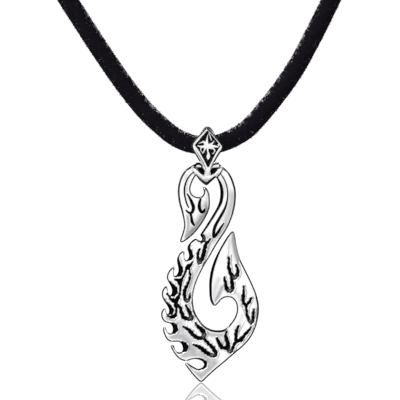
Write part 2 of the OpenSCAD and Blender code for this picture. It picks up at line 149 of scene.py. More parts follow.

# %% [markdown]
# ## The nap on the cord
# The leather is suede on its outside: a close nap of short hairs that blurs the cord's edge.
# Pale specks along its edge are worn nap and also a painted highlight. Hair curves would
# not survive an export, so each hair is a slim closed spike of four faces. There are tens of
# thousands of them, far too many for an operator each, so one array holds them all. The
# random numbers have a fixed seed.

# %% Where each hair grows
HAIRS = 42000
CLASP_REACH = 7.6  # the nap stops where the cord goes into the clasp
# the pale strips lie where the light catches the nap: worn nap and a painted highlight
WEAR_AND_HIGHLIGHT_SIDE = math.radians(27)  # the two strips along which the nap is worn pale
STRIP_SHARE = 0.35  # share of the hairs that grow on these strips

rng = np.random.default_rng(7)
steps = np.linalg.norm(np.diff(cord_line, axis=0), axis=1)
travel = np.concatenate([[0], np.cumsum(steps)])
along = rng.uniform(CLASP_REACH, travel[-1] - CLASP_REACH, HAIRS)
turn = rng.uniform(-math.pi, math.pi, HAIRS)  # round the cord, 0 where it faces inwards
on_strip = rng.uniform(0, 1, HAIRS) < STRIP_SHARE
strip = np.sign(turn) * (WEAR_AND_HIGHLIGHT_SIDE + np.radians(rng.normal(0, 12, HAIRS)))
turn = np.where(on_strip, strip, turn)

# %% Directions along, across and around the cord at each hair
ROOT_DEPTH = 0.03  # how deep a hair is rooted
AHEAD = 0.5  # how far ahead the cord's direction is measured


def on_cord(distance):
    """Points (x, z) of the cord's middle line at these distances along it."""
    return np.stack([np.interp(distance, travel, cord_line[:, k]) for k in (0, 1)], 1)


def upright(x, z):
    """Points or directions in the plane in which the cord lies."""
    return np.stack([x, np.zeros(len(x)), z], 1)


centre = on_cord(along)
ahead = on_cord(along + AHEAD) - centre
ahead /= np.linalg.norm(ahead, axis=1)[:, None]
tangent = upright(ahead[:, 0], ahead[:, 1])
across = upright(-ahead[:, 1], ahead[:, 0])
outward = across * np.cos(turn)[:, None] + np.array([0, 1, 0]) * np.sin(turn)[:, None]
around = np.cross(tangent, outward)
middle = upright(centre[:, 0], centre[:, 1])
root = middle + outward * (CORD_D / 2 - ROOT_DEPTH)
print("hair roots", root.shape)

# %% How the hairs lie and how long they are
FRONT_Z = -140  # below this height the cord is in front, near the bail
BAIL_SIDE = 3.7  # the bail swings so far to each side, and rubs the nap short there
RUBBED = 0.3  # what is left of a rubbed hair's length

lie = tangent * rng.normal(0, 0.8, HAIRS)[:, None] + around * rng.normal(0, 0.8, HAIRS)[:, None]
hair = outward * rng.uniform(0.8, 1.6, HAIRS)[:, None] + lie
clump = 0.5 + 0.5 * np.sin(along * 4.1 + 5 * np.sin(2 * turn)) * np.sin(along * 2.3 - 3 * turn)
long = rng.uniform(0.16, 0.34, HAIRS) * (0.5 + 1.1 * clump)
rubbed = (abs(middle[:, 0]) < BAIL_SIDE) & (middle[:, 2] < FRONT_Z)
long = np.where(rubbed, RUBBED * long, long)
hair *= (long / np.linalg.norm(hair, axis=1))[:, None]
print("longest hair", round(float(long.max()), 2), "mm")

# %% Where the nap is pale, worn and painted as a highlight: in patches on the side that faces inwards, most by the bail
wear_and_highlight = np.exp(-(((abs(turn) - WEAR_AND_HIGHLIGHT_SIDE) / 0.26) ** 2))
patch = np.sin(along * 2.9 + 2 * np.sin(along)) * np.sin(along * 1.3 + 3 * turn)
by_bail = np.exp(-((middle[:, 0] / 13) ** 2)) * (middle[:, 2] < FRONT_Z)
wear_and_highlight *= np.clip(0.6 * by_bail + (0.75 + 1.5 * by_bail) * patch, 0, 1)
thick = rng.uniform(0.055, 0.1, HAIRS)[:, None] * (1 + 0.5 * wear_and_highlight)[:, None]
print("hairs worn pale", int((wear_and_highlight > 0.5).sum()))

# %% The hairs as slim closed spikes
foot = [
    root + (tangent * math.cos(a) + around * math.sin(a)) * thick
    for a in (0, 2 * math.pi / 3, 4 * math.pi / 3)
]
hair_points = np.stack([*foot, root + hair], 1).reshape(-1, 3) * MM
first = np.arange(HAIRS)[:, None] * 4
hair_faces = np.concatenate(
    [first + np.array(f) for f in ((0, 1, 3), (1, 2, 3), (2, 0, 3), (2, 1, 0))]
)
nap_mesh = bpy.data.meshes.new("cord_nap")
nap_mesh.from_pydata(hair_points.tolist(), [], hair_faces.tolist())
nap = linked("cord_nap", nap_mesh)
print("hairs", HAIRS, "faces", len(nap_mesh.polygons))

# %% How pale each hair is: worn with a painted highlight, or a grey fibre in a short streak along the cord's sides
GREY = 0.32  # how pale the palest grey fibre is
FRAYED = (40, 130)  # degrees round the cord at which fibres have gone grey

pale = rng.uniform(0.3, 1, HAIRS) * np.clip(1.5 * wear_and_highlight, 0.01, 1)
frayed = sum(np.exp(-(((abs(turn) - math.radians(side)) / 0.35) ** 2)) for side in FRAYED)
streak = np.sin(31 * turn + 2 * np.sin(along * 0.7)) > 0.2
broken_up = np.sin(along * 1.4 + 5 * turn) > -0.2
grey = GREY * frayed * streak * broken_up * rng.uniform(0, 1, HAIRS)
pale = np.maximum(pale, grey)
nap_pale = nap_mesh.attributes.new("pale", "FLOAT", "POINT")
nap_pale.data.foreach_set("value", np.repeat(pale, 4))
print("pale hairs", int((pale > 0.5).sum()))

# %% [markdown]
# ## A relief from a drawing
# The hook and the bail's kite are low reliefs: a flat outline whose face rises and sinks by
# tenths of a millimetre. Bevels and insets can't follow dozens of flame-shaped grooves on
# such an outline, so the face is made as a modeller of coins would: the drawing is filled
# with a fine net of points, and each point is raised to the height that its distance from
# the edges and from the grooves calls for. The walls and the back then close it to a solid.

# %% Helpers that draw: smooth lines


def smooth_closed(points, steps):
    """Smooth closed line through points, with so many steps between two of them."""
    p = np.array(points, float)
    n = len(p)
    return np.array(
        [
            between(p[i - 1], p[i], p[(i + 1) % n], p[(i + 2) % n], s / steps)
            for i in range(n)
            for s in range(steps)
        ]
    )


def even_steps(loop, step):
    """The closed line again, with points at even distances of about one step."""
    closed = np.concatenate([loop, loop[:1]])
    run = np.concatenate([[0], np.cumsum(np.linalg.norm(np.diff(closed, axis=0), axis=1))])
    count = int(run[-1] / step)
    at = np.linspace(0, run[-1], count, endpoint=False)
    return np.stack([np.interp(at, run, closed[:, k]) for k in (0, 1)], 1)


# %% Helper that measures the distance from an outline


def inside_distance(loop, points):
    """Distance of each point from a clockwise closed line, positive inside it."""
    tree = kdtree.KDTree(len(loop))
    for i, p in enumerate(loop):
        tree.insert((p[0], p[1], 0), i)
    tree.balance()
    near = np.array([tree.find((p[0], p[1], 0))[1] for p in points])
    n = len(loop)
    best = np.full(len(points), 1e9)
    inside = np.zeros(len(points))
    for shift in (-2, -1, 0, 1):
        a = loop[(near + shift) % n]
        b = loop[(near + shift + 1) % n]
        d = b - a
        t = np.clip(((points - a) * d).sum(1) / (d * d).sum(1), 0, 1)
        off = points - (a + d * t[:, None])
        gap = np.linalg.norm(off, axis=1)
        side = (d[:, 1] * off[:, 0] - d[:, 0] * off[:, 1]) / np.linalg.norm(d, axis=1)
        # at a shared corner the side that the point lies more squarely off decides
        same = abs(gap - best) < 1e-6
        closer = (gap < best - 1e-6) | (same & (abs(side) > abs(inside)))
        best[closer] = gap[closer]
        inside[closer] = side[closer]
    return best * np.sign(inside)


# %% Helper that measures the distance from strokes


def stroke_distance(strokes, points, reach=1.2, steps=3):
    """Distance of each point from the edge of the nearest stroke, negative inside it.
    A stroke is rows of x, z and half its width there. Past reach it is not measured."""
    value = np.full(len(points), float(reach))
    for rows in strokes:
        line = smooth_open(rows, steps)
        low = (line[:, :2] - line[:, 2:]).min(0) - reach
        high = (line[:, :2] + line[:, 2:]).max(0) + reach
        near = np.flatnonzero(((points > low) & (points < high)).all(1))
        q = points[near]
        best = np.full(len(near), float(reach))
        for a, b in zip(line[:-1], line[1:]):
            d = b[:2] - a[:2]
            t = np.clip(((q - a[:2]) @ d) / (d @ d), 0, 1)
            wide = a[2] + (b[2] - a[2]) * t
            best = np.minimum(best, np.linalg.norm(q - a[:2] - d * t[:, None], axis=1) - wide)
        value[near] = np.minimum(value[near], best)
    return value


# %% Helpers that fill: nets of points


def net(low, high, step):
    """Net of points in even triangles that covers a box."""
    rows = []
    for j, z in enumerate(np.arange(low[1], high[1], step * math.sqrt(0.75))):
        x = np.arange(low[0] + (j % 2) * step / 2, high[0], step)
        rows.append(np.stack([x, np.full(len(x), z)], 1))
    return np.concatenate(rows)


def pull_to(points, field, levels, reach):
    """Moves the points near a level of a distance field onto it, so that edges run clean."""
    e = 0.01
    here = field(points)
    slope = np.stack(
        [(field(points + s) - here) / e for s in (np.array([e, 0]), np.array([0, e]))], 1
    )
    steep = np.linalg.norm(slope, axis=1)
    moved = points.copy()
    for level in levels:
        take = (abs(here - level) < reach) & (steep > 0.6)
        moved[take] -= slope[take] * ((here[take] - level) / steep[take] ** 2)[:, None]
    return moved


def thinned(points, gap):
    """Leaves out points that crowd another one."""
    cells = np.floor(points / gap).astype(int)
    _, keep = np.unique(cells, axis=0, return_index=True)
    return points[np.sort(keep)]


# %% Helpers that fill: from an outline to its net and its triangles


def filled(loop, points):
    """Triangles between a closed line and the points inside it. The line's own points come
    first, in their order."""
    n = len(loop)
    both = [Vector(p) for p in np.concatenate([loop, points])]
    out = geometry.delaunay_2d_cdt(both, [], [list(range(n))[::-1]], 1, 1e-7)
    at = [o[0] for o in out[3]]
    return np.array([tuple(both[a]) for a in at]), [list(f) for f in out[2]], at


def drawn_net(loop, step, margins, edges, gap):
    """Close net of points inside a closed line, with the points near each edge pulled onto
    it. An edge is a distance field, its levels and how far from them points are pulled. The
    margins are left free along the line, before the pulling and after it."""
    points = net(loop.min(0), loop.max(0), step)
    points = points[inside_distance(loop, points) > margins[0]]
    for field, levels, reach in edges:
        points = pull_to(points, field, levels, reach)
    points = thinned(points, gap)
    return points[inside_distance(loop, points) > margins[1]]


def plain_net(loop, step, edge):
    """Wide net of points inside a closed line, with a close row along it at one distance."""
    wide = net(loop.min(0), loop.max(0), step)
    wide = wide[inside_distance(loop, wide) > edge + step * 0.4]
    close = net(loop.min(0), loop.max(0), 0.12)
    close = close[abs(inside_distance(loop, close) - edge) < 0.08]
    for _ in range(2):
        close = pull_to(close, lambda p: inside_distance(loop, p), (edge,), 0.09)
    close = close[abs(inside_distance(loop, close) - edge) < 0.01]
    return np.concatenate([wide, thinned(close, 0.1)])


# %% Helpers that make the solid


def shown(name, bm):
    """A bmesh as an object in the scene."""
    mesh = bpy.data.meshes.new(name)
    bm.to_mesh(mesh)
    bm.free()
    return linked(name, mesh)


def raised(bm, drawing, heights):
    """The drawing's points in a mesh, each one at its height along Y."""
    return [
        bm.verts.new((p[0] * MM, y * MM, (p[1] + LOW_Z) * MM)) for p, y in zip(drawing, heights)
    ]


def relief(name, loop, points, front, back, back_points):
    """Solid whose outline is loop, with its face at front(points) and its back at
    back(points), both in mm along Y. Returns the object and the face's points."""
    n = len(loop)
    flat, faces, at = filled(loop, points)
    flat_b, faces_b, at_b = filled(loop, back_points)
    bm = bmesh.new()
    verts = raised(bm, flat, front(flat))
    rear = raised(bm, flat_b, back(flat_b))
    for f in faces:
        bm.faces.new([verts[i] for i in f])
    for f in faces_b:
        bm.faces.new([rear[i] for i in reversed(f)])
    rim_front = {a: verts[k] for k, a in enumerate(at) if a < n}
    rim_back = {a: rear[k] for k, a in enumerate(at_b) if a < n}
    for i in range(n):
        j = (i + 1) % n
        bm.faces.new([rim_front[i], rim_front[j], rim_back[j], rim_back[i]])
    bmesh.ops.recalc_face_normals(bm, faces=bm.faces)
    return shown(name, bm), flat


# %% [markdown]
# ## The hook
# The hook is cast in one piece: an eye with a V-shaped collar, two arches that run together
# into a neck, a leaf, a crescent that ends in a barb and a pointed arm, and a row of wave
# curls on its left. The tables follow its outline clockwise as seen from the front, with x
# and z measured from the cord's lowest point.

# %% Outline of the hook: right arch, crescent, arm and right edge
ARCH_RIGHT = [
    (0, -3.2), (1.6, -3.35), (2.7, -3.95), (3.9, -5), (4.55, -5.8), (5.05, -6.8),
    (5.45, -8), (5.65, -9), (5.7, -10.1), (5.65, -11.1), (5.5, -12.2), (5.1, -13.8),
    (4.5, -15.4), (3.7, -17), (2.7, -18.5), (1.6, -20.2), (0.6, -22),
]
CRESCENT_INSIDE = [
    (-0.4, -23.6), (-1.25, -25.2), (-2, -26.8), (-2.55, -28.4), (-2.85, -30),
    (-2.85, -31.6), (-2.5, -33.2), (-1.7, -34.7), (-0.6, -36), (0.8, -36.75),
    (2.4, -36.95), (3.6, -36.6), (4.7, -35.45), (5.5, -34.2), (5.85, -32.8),
    (5.65, -31.45), (4.9, -30.55), (3.9, -30.35), (2.9, -30.7), (2.2, -31.5),
]
ARM = [
    (1.55, -32.05), (0.95, -31.8), (0.5, -30.8), (0.35, -29.3), (0.35, -27.1),
    (0.7, -24.9), (1.4, -22.8), (2.4, -20.8), (3.5, -18.9), (4.4, -17.6), (5, -17.15),
    (5.35, -17.45), (5.6, -18.6), (5.95, -20.5), (6.6, -22.8), (7.6, -24.9),
]
RIGHT_EDGE = [
    (8.6, -26.9), (9.6, -29.2), (10.15, -31.1), (10.3, -32.7), (10.1, -34.6),
    (9.55, -36.6), (8.55, -38.5), (7.2, -40.05), (5.5, -41.5), (3.6, -43.15),
    (1.6, -44.8), (-0.1, -46.35),
]
right_side = ARCH_RIGHT + CRESCENT_INSIDE + ARM + RIGHT_EDGE
print("points on the right", len(right_side))

# %% Outline of the hook: tip and wave curls
BOTTOM_TIP = [
    (-0.8, -47.05), (-1.25, -47.25), (-1.75, -47.05), (-2.7, -46.1), (-3.7, -44.9),
    (-4.45, -43.85), (-4.5, -43.5), (-4.2, -43.4), (-3.8, -43.55),
]
CURLS_LOW = [
    (-2.9, -44.15), (-2, -44.6), (-1.2, -44.5), (-0.7, -43.9), (-0.9, -43.3),
    (-1.5, -42.9), (-2.5, -42.7), (-3.5, -42.9), (-4.3, -43.1), (-5.2, -42.9),
    (-6, -42.35), (-6.7, -41.5), (-7.2, -40.6), (-7.4, -40), (-7.1, -39.85), (-6.7, -40),
    (-6.55, -40.55), (-6.2, -41.15), (-5.6, -41.35), (-5.05, -41.1), (-4.95, -40.4),
    (-5.25, -39.65), (-5.8, -39.25), (-6.7, -39.25), (-7.6, -39.15), (-8.25, -38.6),
    (-8.7, -37.7), (-8.9, -36.9), (-8.75, -36.3), (-8.4, -36.3),
    (-8.2, -36.85), (-7.9, -37.35), (-7.35, -37.55), (-7, -37.2), (-6.95, -36.5),
    (-7.2, -35.85), (-7.6, -35.55), (-8.3, -35.4), (-8.9, -34.95), (-9.25, -34.2),
    (-9.25, -33.4), (-8.95, -32.75), (-8.6, -32.55), (-8.3, -32.75),
]
CURLS_HIGH = [
    (-8.25, -33.3), (-8, -33.7), (-7.75, -33.45), (-7.7, -32.9), (-7.9, -32.3),
    (-8.3, -31.65), (-8.75, -30.95), (-9.05, -30.3), (-9.15, -29.6), (-9, -28.9),
    (-8.65, -28.35), (-8.3, -28.1), (-8.05, -28.4),
    (-7.95, -28.95), (-7.8, -29.55), (-7.5, -29.95), (-7.2, -29.65), (-7.1, -29),
    (-7.25, -28.35), (-7.6, -27.65), (-8, -26.95), (-8.15, -26.3), (-8, -25.6),
    (-7.6, -24.9), (-7.1, -24.4), (-6.7, -24.25),
    (-6.6, -24.7), (-6.7, -25.4), (-6.65, -26), (-6.25, -25.95), (-5.9, -25.4),
    (-5.8, -24.7), (-5.95, -23.9), (-6.1, -23), (-6, -22.3), (-5.7, -21.7),
    (-5.25, -21.25), (-4.75, -21.05), (-4.6, -21.45),
    (-4.65, -22.1), (-4.5, -22.75), (-4.15, -22.9), (-3.8, -22.5), (-3.7, -21.9),
    (-3.9, -21.15), (-4.1, -20.5), (-3.85, -19.95), (-3.4, -19.35), (-2.85, -18.85),
    (-2.3, -18.65), (-1.75, -18.95), (-1.3, -19.05), (-1.1, -18.6), (-1.45, -17.9),
]
curls = BOTTOM_TIP + CURLS_LOW + CURLS_HIGH
print("points on the curls", len(curls))

# %% Outline of the hook: inside of the arch, collar, leaf and left arch
ARCH_INSIDE = [
    (-1.2, -17.4), (-0.4, -16.2), (0.6, -14.6), (1.5, -13.1), (2.2, -11.7),
    (2.5, -10.4), (2.55, -9.1), (2.35, -7.9), (2, -6.9), (1.7, -6.45),
]
COLLAR_EDGE = [
    (1.1, -6.9), (0.5, -7.45), (-0.1, -7.95), (-0.6, -7.8), (-1.3, -7.25),
    (-1.9, -6.6), (-2.3, -6.1),
]
LEAF = [
    (-2.75, -6.75), (-3.15, -7.6), (-3.4, -8.6), (-3.25, -9.45), (-2.7, -10.05),
    (-1.8, -10.3), (-1.05, -10.05), (-0.75, -9.4), (-0.85, -8.8),
    (-0.95, -8.4), (-0.55, -8.3), (-0.05, -8.7), (0.35, -9.6), (0.5, -10.9),
    (0.45, -12.3), (0.1, -13.45), (-0.6, -14.8), (-1.5, -16.2), (-2.5, -17.45),
    (-3.7, -18.55), (-4.7, -19.25), (-5.2, -19.4), (-5.5, -19.1), (-5.3, -18.3),
    (-4.9, -17.1), (-4.7, -15.9), (-4.85, -14.7), (-5.2, -13.2),
]
ARCH_LEFT = [
    (-5.65, -11.7), (-5.9, -10.2), (-5.95, -8.8), (-5.75, -7.5), (-5.25, -6.1),
    (-4.4, -4.9), (-3.5, -4.25), (-2.6, -3.75), (-1.6, -3.35),
]
arches_and_leaf = ARCH_INSIDE + COLLAR_EDGE + LEAF + ARCH_LEFT
print("points on the arches and the leaf", len(arches_and_leaf))

# %% The eye is a wide gap above the bar, and a narrow slot behind it for the bail's bend
EYE_NOTCH = [
    (-1.9, -3.42), (-1.9, -4.5), (-1.8, -4.6), (-0.72, -4.6), (-0.62, -4.7),
    (-0.62, -6.16), (-0.5, -6.28), (0.5, -6.28), (0.62, -6.16), (0.62, -4.7),
    (0.72, -4.6), (1.8, -4.6), (1.9, -4.5), (1.9, -3.42),
]
EYE_SIDE, EYE_BELOW = 1.9, -3.7  # the outline's own points between these make way for it
print("eye points", len(EYE_NOTCH))

# %% The whole outline
whole = smooth_closed(right_side + curls + arches_and_leaf, 4)
outside_eye = (abs(whole[:, 0]) > EYE_SIDE) | (whole[:, 1] < EYE_BELOW)
start = int(np.flatnonzero(outside_eye)[0])
hook_loop = np.concatenate([np.roll(whole, -start, 0)[: outside_eye.sum()], EYE_NOTCH])
hook_loop = even_steps(hook_loop, 0.1)
print("outline points", len(hook_loop))

# %% [markdown]
# ### The grooves
# On the real hook the grooves were cut in the wax model with a hot tool, in strokes that
# swell and taper. So each groove here is a stroke too: a few points with half the width at
# each, joined smoothly. A picture of the grooves or cut solids would be much harder to change.

# %% Hollows behind the wave curls: x, z and half the width
WAVE_HOLLOWS = [
    [(-1.2, -19.35, 0.14), (-1.7, -19.1, 0.14), (-2.3, -18.85, 0.14),
     (-2.85, -19.05, 0.15), (-3.4, -19.6, 0.16), (-3.75, -20.2, 0.18),
     (-3.5, -21.1, 0.3), (-3.3, -21.95, 0.42), (-3.5, -22.6, 0.36), (-4.1, -23, 0.1)],
    [(-5.85, -22.5, 0.14), (-5.8, -23.3, 0.24), (-5.55, -24.2, 0.38),
     (-5.35, -25, 0.46), (-5.65, -25.75, 0.42), (-6.25, -26.2, 0.1)],
    [(-7.7, -27.25, 0.15), (-7.25, -27.8, 0.32), (-6.75, -28.45, 0.5),
     (-6.55, -29.1, 0.6), (-6.75, -29.65, 0.46), (-7.3, -30, 0.12)],
    [(-8.75, -30.7, 0.12), (-8.3, -31.35, 0.2), (-7.75, -32.05, 0.34),
     (-7.3, -32.7, 0.46), (-7.3, -33.25, 0.44), (-7.7, -33.7, 0.1)],
    [(-7.4, -35.55, 0.12), (-6.75, -35.9, 0.4), (-6.45, -36.5, 0.54),
     (-6.55, -37.05, 0.46), (-6.95, -37.4, 0.16)],
    [(-5.6, -39.3, 0.12), (-4.9, -39.55, 0.32), (-4.45, -40.1, 0.56),
     (-4.55, -40.7, 0.5), (-4.9, -41.15, 0.16)],
    [(-2.4, -42.6, 0.1), (-1.4, -42.7, 0.18), (-0.65, -43.2, 0.32),
     (-0.4, -43.75, 0.32), (-0.7, -44.35, 0.26), (-1.5, -44.75, 0.1)],
    [(-1.25, -17.75, 0.2), (-0.85, -18.3, 0.38), (-0.82, -18.9, 0.4),
     (-1.1, -19.35, 0.2)],
]
print("wave hollows", len(WAVE_HOLLOWS))

# %% The long hollow that runs down the column beside the curls
COLUMN_HOLLOW = [
    [(-2.9, -23.3, 0.08), (-3.4, -23.85, 0.24), (-3.9, -24.35, 0.38),
     (-4.25, -24.95, 0.18), (-4.55, -25.7, 0.14), (-5, -26.45, 0.18),
     (-5.45, -27.2, 0.38), (-5.4, -28.1, 0.22), (-5.4, -29.1, 0.14),
     (-5.6, -30, 0.18), (-6.05, -30.7, 0.38), (-6.35, -31.5, 0.34),
     (-6.25, -32.4, 0.18), (-6.25, -33.3, 0.16), (-6.5, -34.05, 0.34),
     (-7.2, -34.25, 0.26), (-8, -34, 0.08)],
    [(-6.55, -26.8, 0.08), (-5.9, -27, 0.3), (-5.45, -27.2, 0.38)],
    [(-8.05, -29.6, 0.06), (-7.7, -30.1, 0.1), (-7.25, -30.7, 0.2),
     (-6.7, -31, 0.44), (-6.3, -31.1, 0.44)],
]
print("column hollows", len(COLUMN_HOLLOW))

# %% Flames on the neck, the crescent and the arm
FLAMES = [
    [(0.6, -18.75, 0.1), (-0.2, -19.6, 0.26), (-0.55, -20.7, 0.3),
     (-0.8, -21.9, 0.3), (-1.2, -22.9, 0.32), (-1.65, -23.55, 0.26),
     (-1.85, -22.5, 0.22), (-1.9, -21.5, 0.2), (-1.55, -20.75, 0.12)],
    [(-3.55, -24.95, 0.08), (-3.45, -25.8, 0.14), (-3.65, -26.9, 0.16),
     (-4.1, -28, 0.2), (-4.55, -29.1, 0.24), (-4.55, -30.2, 0.28),
     (-4.05, -31.1, 0.32), (-3.55, -30.5, 0.18), (-3.45, -29.75, 0.1)],
    [(-6.05, -31.65, 0.1), (-5.45, -32.4, 0.26), (-5.15, -33.4, 0.3),
     (-4.75, -34.3, 0.36), (-3.9, -34.65, 0.36), (-3.15, -34.5, 0.34),
     (-3.6, -33.3, 0.3), (-4.15, -32.25, 0.16), (-4.35, -31.9, 0.06)],
    [(-4.85, -36.15, 0.08), (-4.1, -36.6, 0.24), (-3.3, -37.3, 0.32),
     (-2.5, -38.15, 0.34), (-1.6, -38.55, 0.32), (-0.85, -38.25, 0.4),
     (-0.7, -37.4, 0.38), (-1.4, -36.6, 0.36), (-2.1, -35.9, 0.2),
     (-2.35, -35.5, 0.1)],
    [(-2.8, -39.8, 0.08), (-1.9, -40.15, 0.28), (-0.9, -40.8, 0.34),
     (0.1, -41.55, 0.38), (1.1, -42, 0.38), (1.65, -41.7, 0.34),
     (1.4, -40.85, 0.34), (0.6, -39.95, 0.26), (-0.3, -39.05, 0.24),
     (-0.75, -38.6, 0.2)],
    [(1.9, -38.6, 0.2), (2.35, -39.4, 0.28), (2.8, -40.25, 0.34),
     (3.5, -40.45, 0.26), (4.15, -40.7, 0.32), (4.55, -41.25, 0.3),
     (5.05, -40.55, 0.26), (5.4, -39.7, 0.22), (5.9, -39.15, 0.28),
     (6.65, -38.85, 0.34), (7.3, -38.05, 0.26), (8.1, -37.1, 0.2),
     (8.75, -36.35, 0.1)],
    [(4.15, -40.4, 0.32), (4.05, -39.4, 0.34), (3.75, -38.5, 0.28),
     (3.65, -37.8, 0.2), (3.85, -37.15, 0.1)],
    [(5.8, -39.2, 0.28), (5.7, -38.2, 0.28), (5.8, -37.1, 0.24), (6.2, -36, 0.12)],
    [(7.2, -28.1, 0.08), (7.3, -29.2, 0.15), (7.15, -30.3, 0.27),
     (7.15, -31.2, 0.26), (7.75, -31.9, 0.24), (8.35, -31.3, 0.2),
     (8.55, -30.8, 0.2), (8.75, -30.5, 0.14)],
    [(7.75, -31.9, 0.24), (7.8, -32.7, 0.17), (7.85, -33.6, 0.2),
     (8.15, -34.5, 0.26), (8.72, -35.5, 0.26), (9.1, -34.8, 0.3),
     (9.1, -33.9, 0.22), (9.3, -32.8, 0.14)],
    [(4.3, -22.2, 0.12), (4.25, -23.3, 0.18), (4.3, -24.5, 0.26),
     (4.65, -25.6, 0.3), (5.2, -26.4, 0.38), (5.85, -26.05, 0.38),
     (6.1, -25.1, 0.26), (5.75, -23.85, 0.12)],
    [(4.85, -26.5, 0.3), (4.95, -27.7, 0.3), (4.95, -28.8, 0.36),
     (4.3, -29.05, 0.38), (3.75, -28.3, 0.3), (3.55, -27.2, 0.2),
     (3.4, -26.4, 0.12)],
]
print("flames", len(FLAMES))

# %% Fine lines along the arches, the arm and the crescent, and on the leaf
ARCH_LINES = [
    [(-2.8, -5.35, 0.08), (-3.6, -6.1, 0.1), (-4.2, -7.1, 0.12),
     (-4.55, -8.3, 0.14), (-4.6, -9.5, 0.14), (-4.45, -10.5, 0.12),
     (-4.1, -11.7, 0.12), (-3.75, -12.4, 0.08)],
    [(2.5, -5.5, 0.06), (3.1, -6.4, 0.08), (3.65, -7.5, 0.09),
     (3.95, -8.7, 0.09), (4.05, -9.9, 0.1), (3.9, -11.1, 0.13),
     (3.55, -12.4, 0.18), (2.9, -13.7, 0.24), (2.2, -14.9, 0.26),
     (1.55, -16.1, 0.28), (1.25, -17.3, 0.28), (1.25, -18.3, 0.24),
     (1.9, -17.65, 0.26), (2.5, -16.7, 0.22), (3.25, -15.55, 0.1)],
    [(1.9, -6.5, 0.2), (2.45, -7.45, 0.26), (2.8, -8.7, 0.32), (2.85, -10, 0.34),
     (2.55, -11.5, 0.32), (1.8, -12.95, 0.28), (0.87, -14.5, 0.26), (-0.15, -16.1, 0.24),
     (-0.95, -17.3, 0.2), (-1.3, -17.8, 0.16)],
    [(4.5, -17.75, 0.08), (3.5, -19.15, 0.17), (2.45, -21.0, 0.17), (1.5, -23.3, 0.22),
     (0.9, -25.3, 0.26), (0.6, -27.4, 0.26), (0.6, -29.3, 0.24), (0.75, -30.7, 0.2),
     (1.2, -31.6, 0.1)],
    [(-3.05, -30.6, 0.03), (-3.05, -31.7, 0.05), (-2.7, -33.3, 0.08), (-1.85, -34.85, 0.07),
     (-0.7, -36.2, 0.08), (0.75, -37.0, 0.14), (2.4, -37.15, 0.2), (3.4, -36.85, 0.26),
     (4.1, -36.1, 0.1)],
]
LEAF_LINES = [
    [(-4.05, -9.7, 0.1), (-3.5, -10.6, 0.2), (-3.05, -11.6, 0.3),
     (-2.8, -12.4, 0.3), (-3, -13.2, 0.28), (-3.35, -13.65, 0.22),
     (-3.2, -14.4, 0.22), (-3.1, -15.2, 0.28), (-2.65, -15.95, 0.18)],
    [(-3.35, -13.6, 0.2), (-3.85, -13.35, 0.18), (-4.3, -12.95, 0.1)],
    [(-1.35, -10.65, 0.16), (-1.6, -11.5, 0.27), (-1.6, -12.5, 0.32),
     (-1.25, -13.25, 0.28), (-0.75, -13.2, 0.28), (-0.55, -12.75, 0.16)],
]
deep_cuts = WAVE_HOLLOWS + COLUMN_HOLLOW + FLAMES
fine_cuts = ARCH_LINES + LEAF_LINES
print("strokes", len(deep_cuts), "deep and", len(fine_cuts), "fine")

# %% [markdown]
# ### The hook's face
# Where the face is far from any edge it is gently crowned, as a casting is after polishing.
# Along its outline a file has broken the edge in a narrow slanted strip, which mirrors dark
# and so draws the outline. A groove has steep walls and a flat floor, and metal pushed up by
# the burnisher stands as a low lip beside it. The collar is a raised V below the eye, and
# inside it the face drops into the dark pocket that holds the bar.

# %% Sizes of the hook's face
FACE = 1.4  # half the casting's thickness
BROKEN = 0.3  # width of the filed edge
FILED_SLOPE = 1.33  # how steeply it drops, which is 53 degrees
CROWN = 0.08  # how much higher the face is far from its outline
DEEP_CUT, FINE_CUT = 0.62, 0.36  # depths of the grooves
DEEP_LIP, FINE_LIP = 0.07, 0.03  # heights of the lips beside them
GROOVE_WALL = 4  # how steep their walls are
COLLAR_RISE = 0.38
COLLAR_WALL = 0.25  # width of the collar's slanted walls
POCKET_DEPTH = 1.45
SLOT_DEPTH = 0.85  # so much deeper is the pocket beside the slot for the bail's bend
BACK_EDGE = 0.25  # width of the back's narrow chamfer
BACK_DROP = 0.18
print("thickness of the casting", 2 * FACE)

# %% The collar, its pocket and the black strip painted as shade below it
COLLAR = [
    (-2.85, -4.45, 0.3), (-2.35, -5.15, 0.56), (-1.35, -6.25, 0.62), (-0.1, -7.0, 0.85),
    (1.25, -6.25, 0.62), (2.3, -5.15, 0.56), (2.9, -4.4, 0.3),
]
POCKET = [
    (-2.8, -3.95), (-2.5, -4.25), (-1.75, -4.95), (-0.85, -5.85), (0, -6.1), (0.85, -5.85),
    (1.75, -4.95), (2.5, -4.25), (2.85, -3.95), (1.9, -3.2), (-1.9, -3.2),
]
# a strip along the collar's lower edge, painted black as shade
PAINTED_SHADE_UNDER_COLLAR = [
    [(-2.25, -5.95, 0.12), (-1.3, -7.0, 0.26), (-0.2, -7.75, 0.4), (0.5, -7.25, 0.36),
     (1.5, -6.4, 0.28)],
]
pocket_loop = even_steps(np.array(POCKET[::-1], float), 0.05)
print("pocket points", len(pocket_loop))

# %% Where the face slopes down softly to an edge: a line, how far it drops, how wide
SLOPES = [
    ([(0.25, -12.9), (-0.6, -14.8), (-1.5, -16.2), (-3.7, -18.55)], 0.3, 0.8),
    ([(0.05, -8.7), (0.5, -10.9), (0.45, -12.3)], 0.08, 0.5),
    ([(5.35, -17.45), (5.95, -20.5), (6.6, -22.8)], 0.32, 0.85),
    ([(5.7, -10.1), (5.5, -12.2), (4.5, -15.4), (2.7, -18.5)], 0.15, 0.8),
]
print("slopes", len(SLOPES))

# %% Helpers: a smooth step, and distances from the grooves and the collar


def ramp(value, low, high):
    """0 below low, 1 above high and a smooth step between them."""
    t = np.clip((value - low) / (high - low), 0, 1)
    return t * t * (3 - 2 * t)


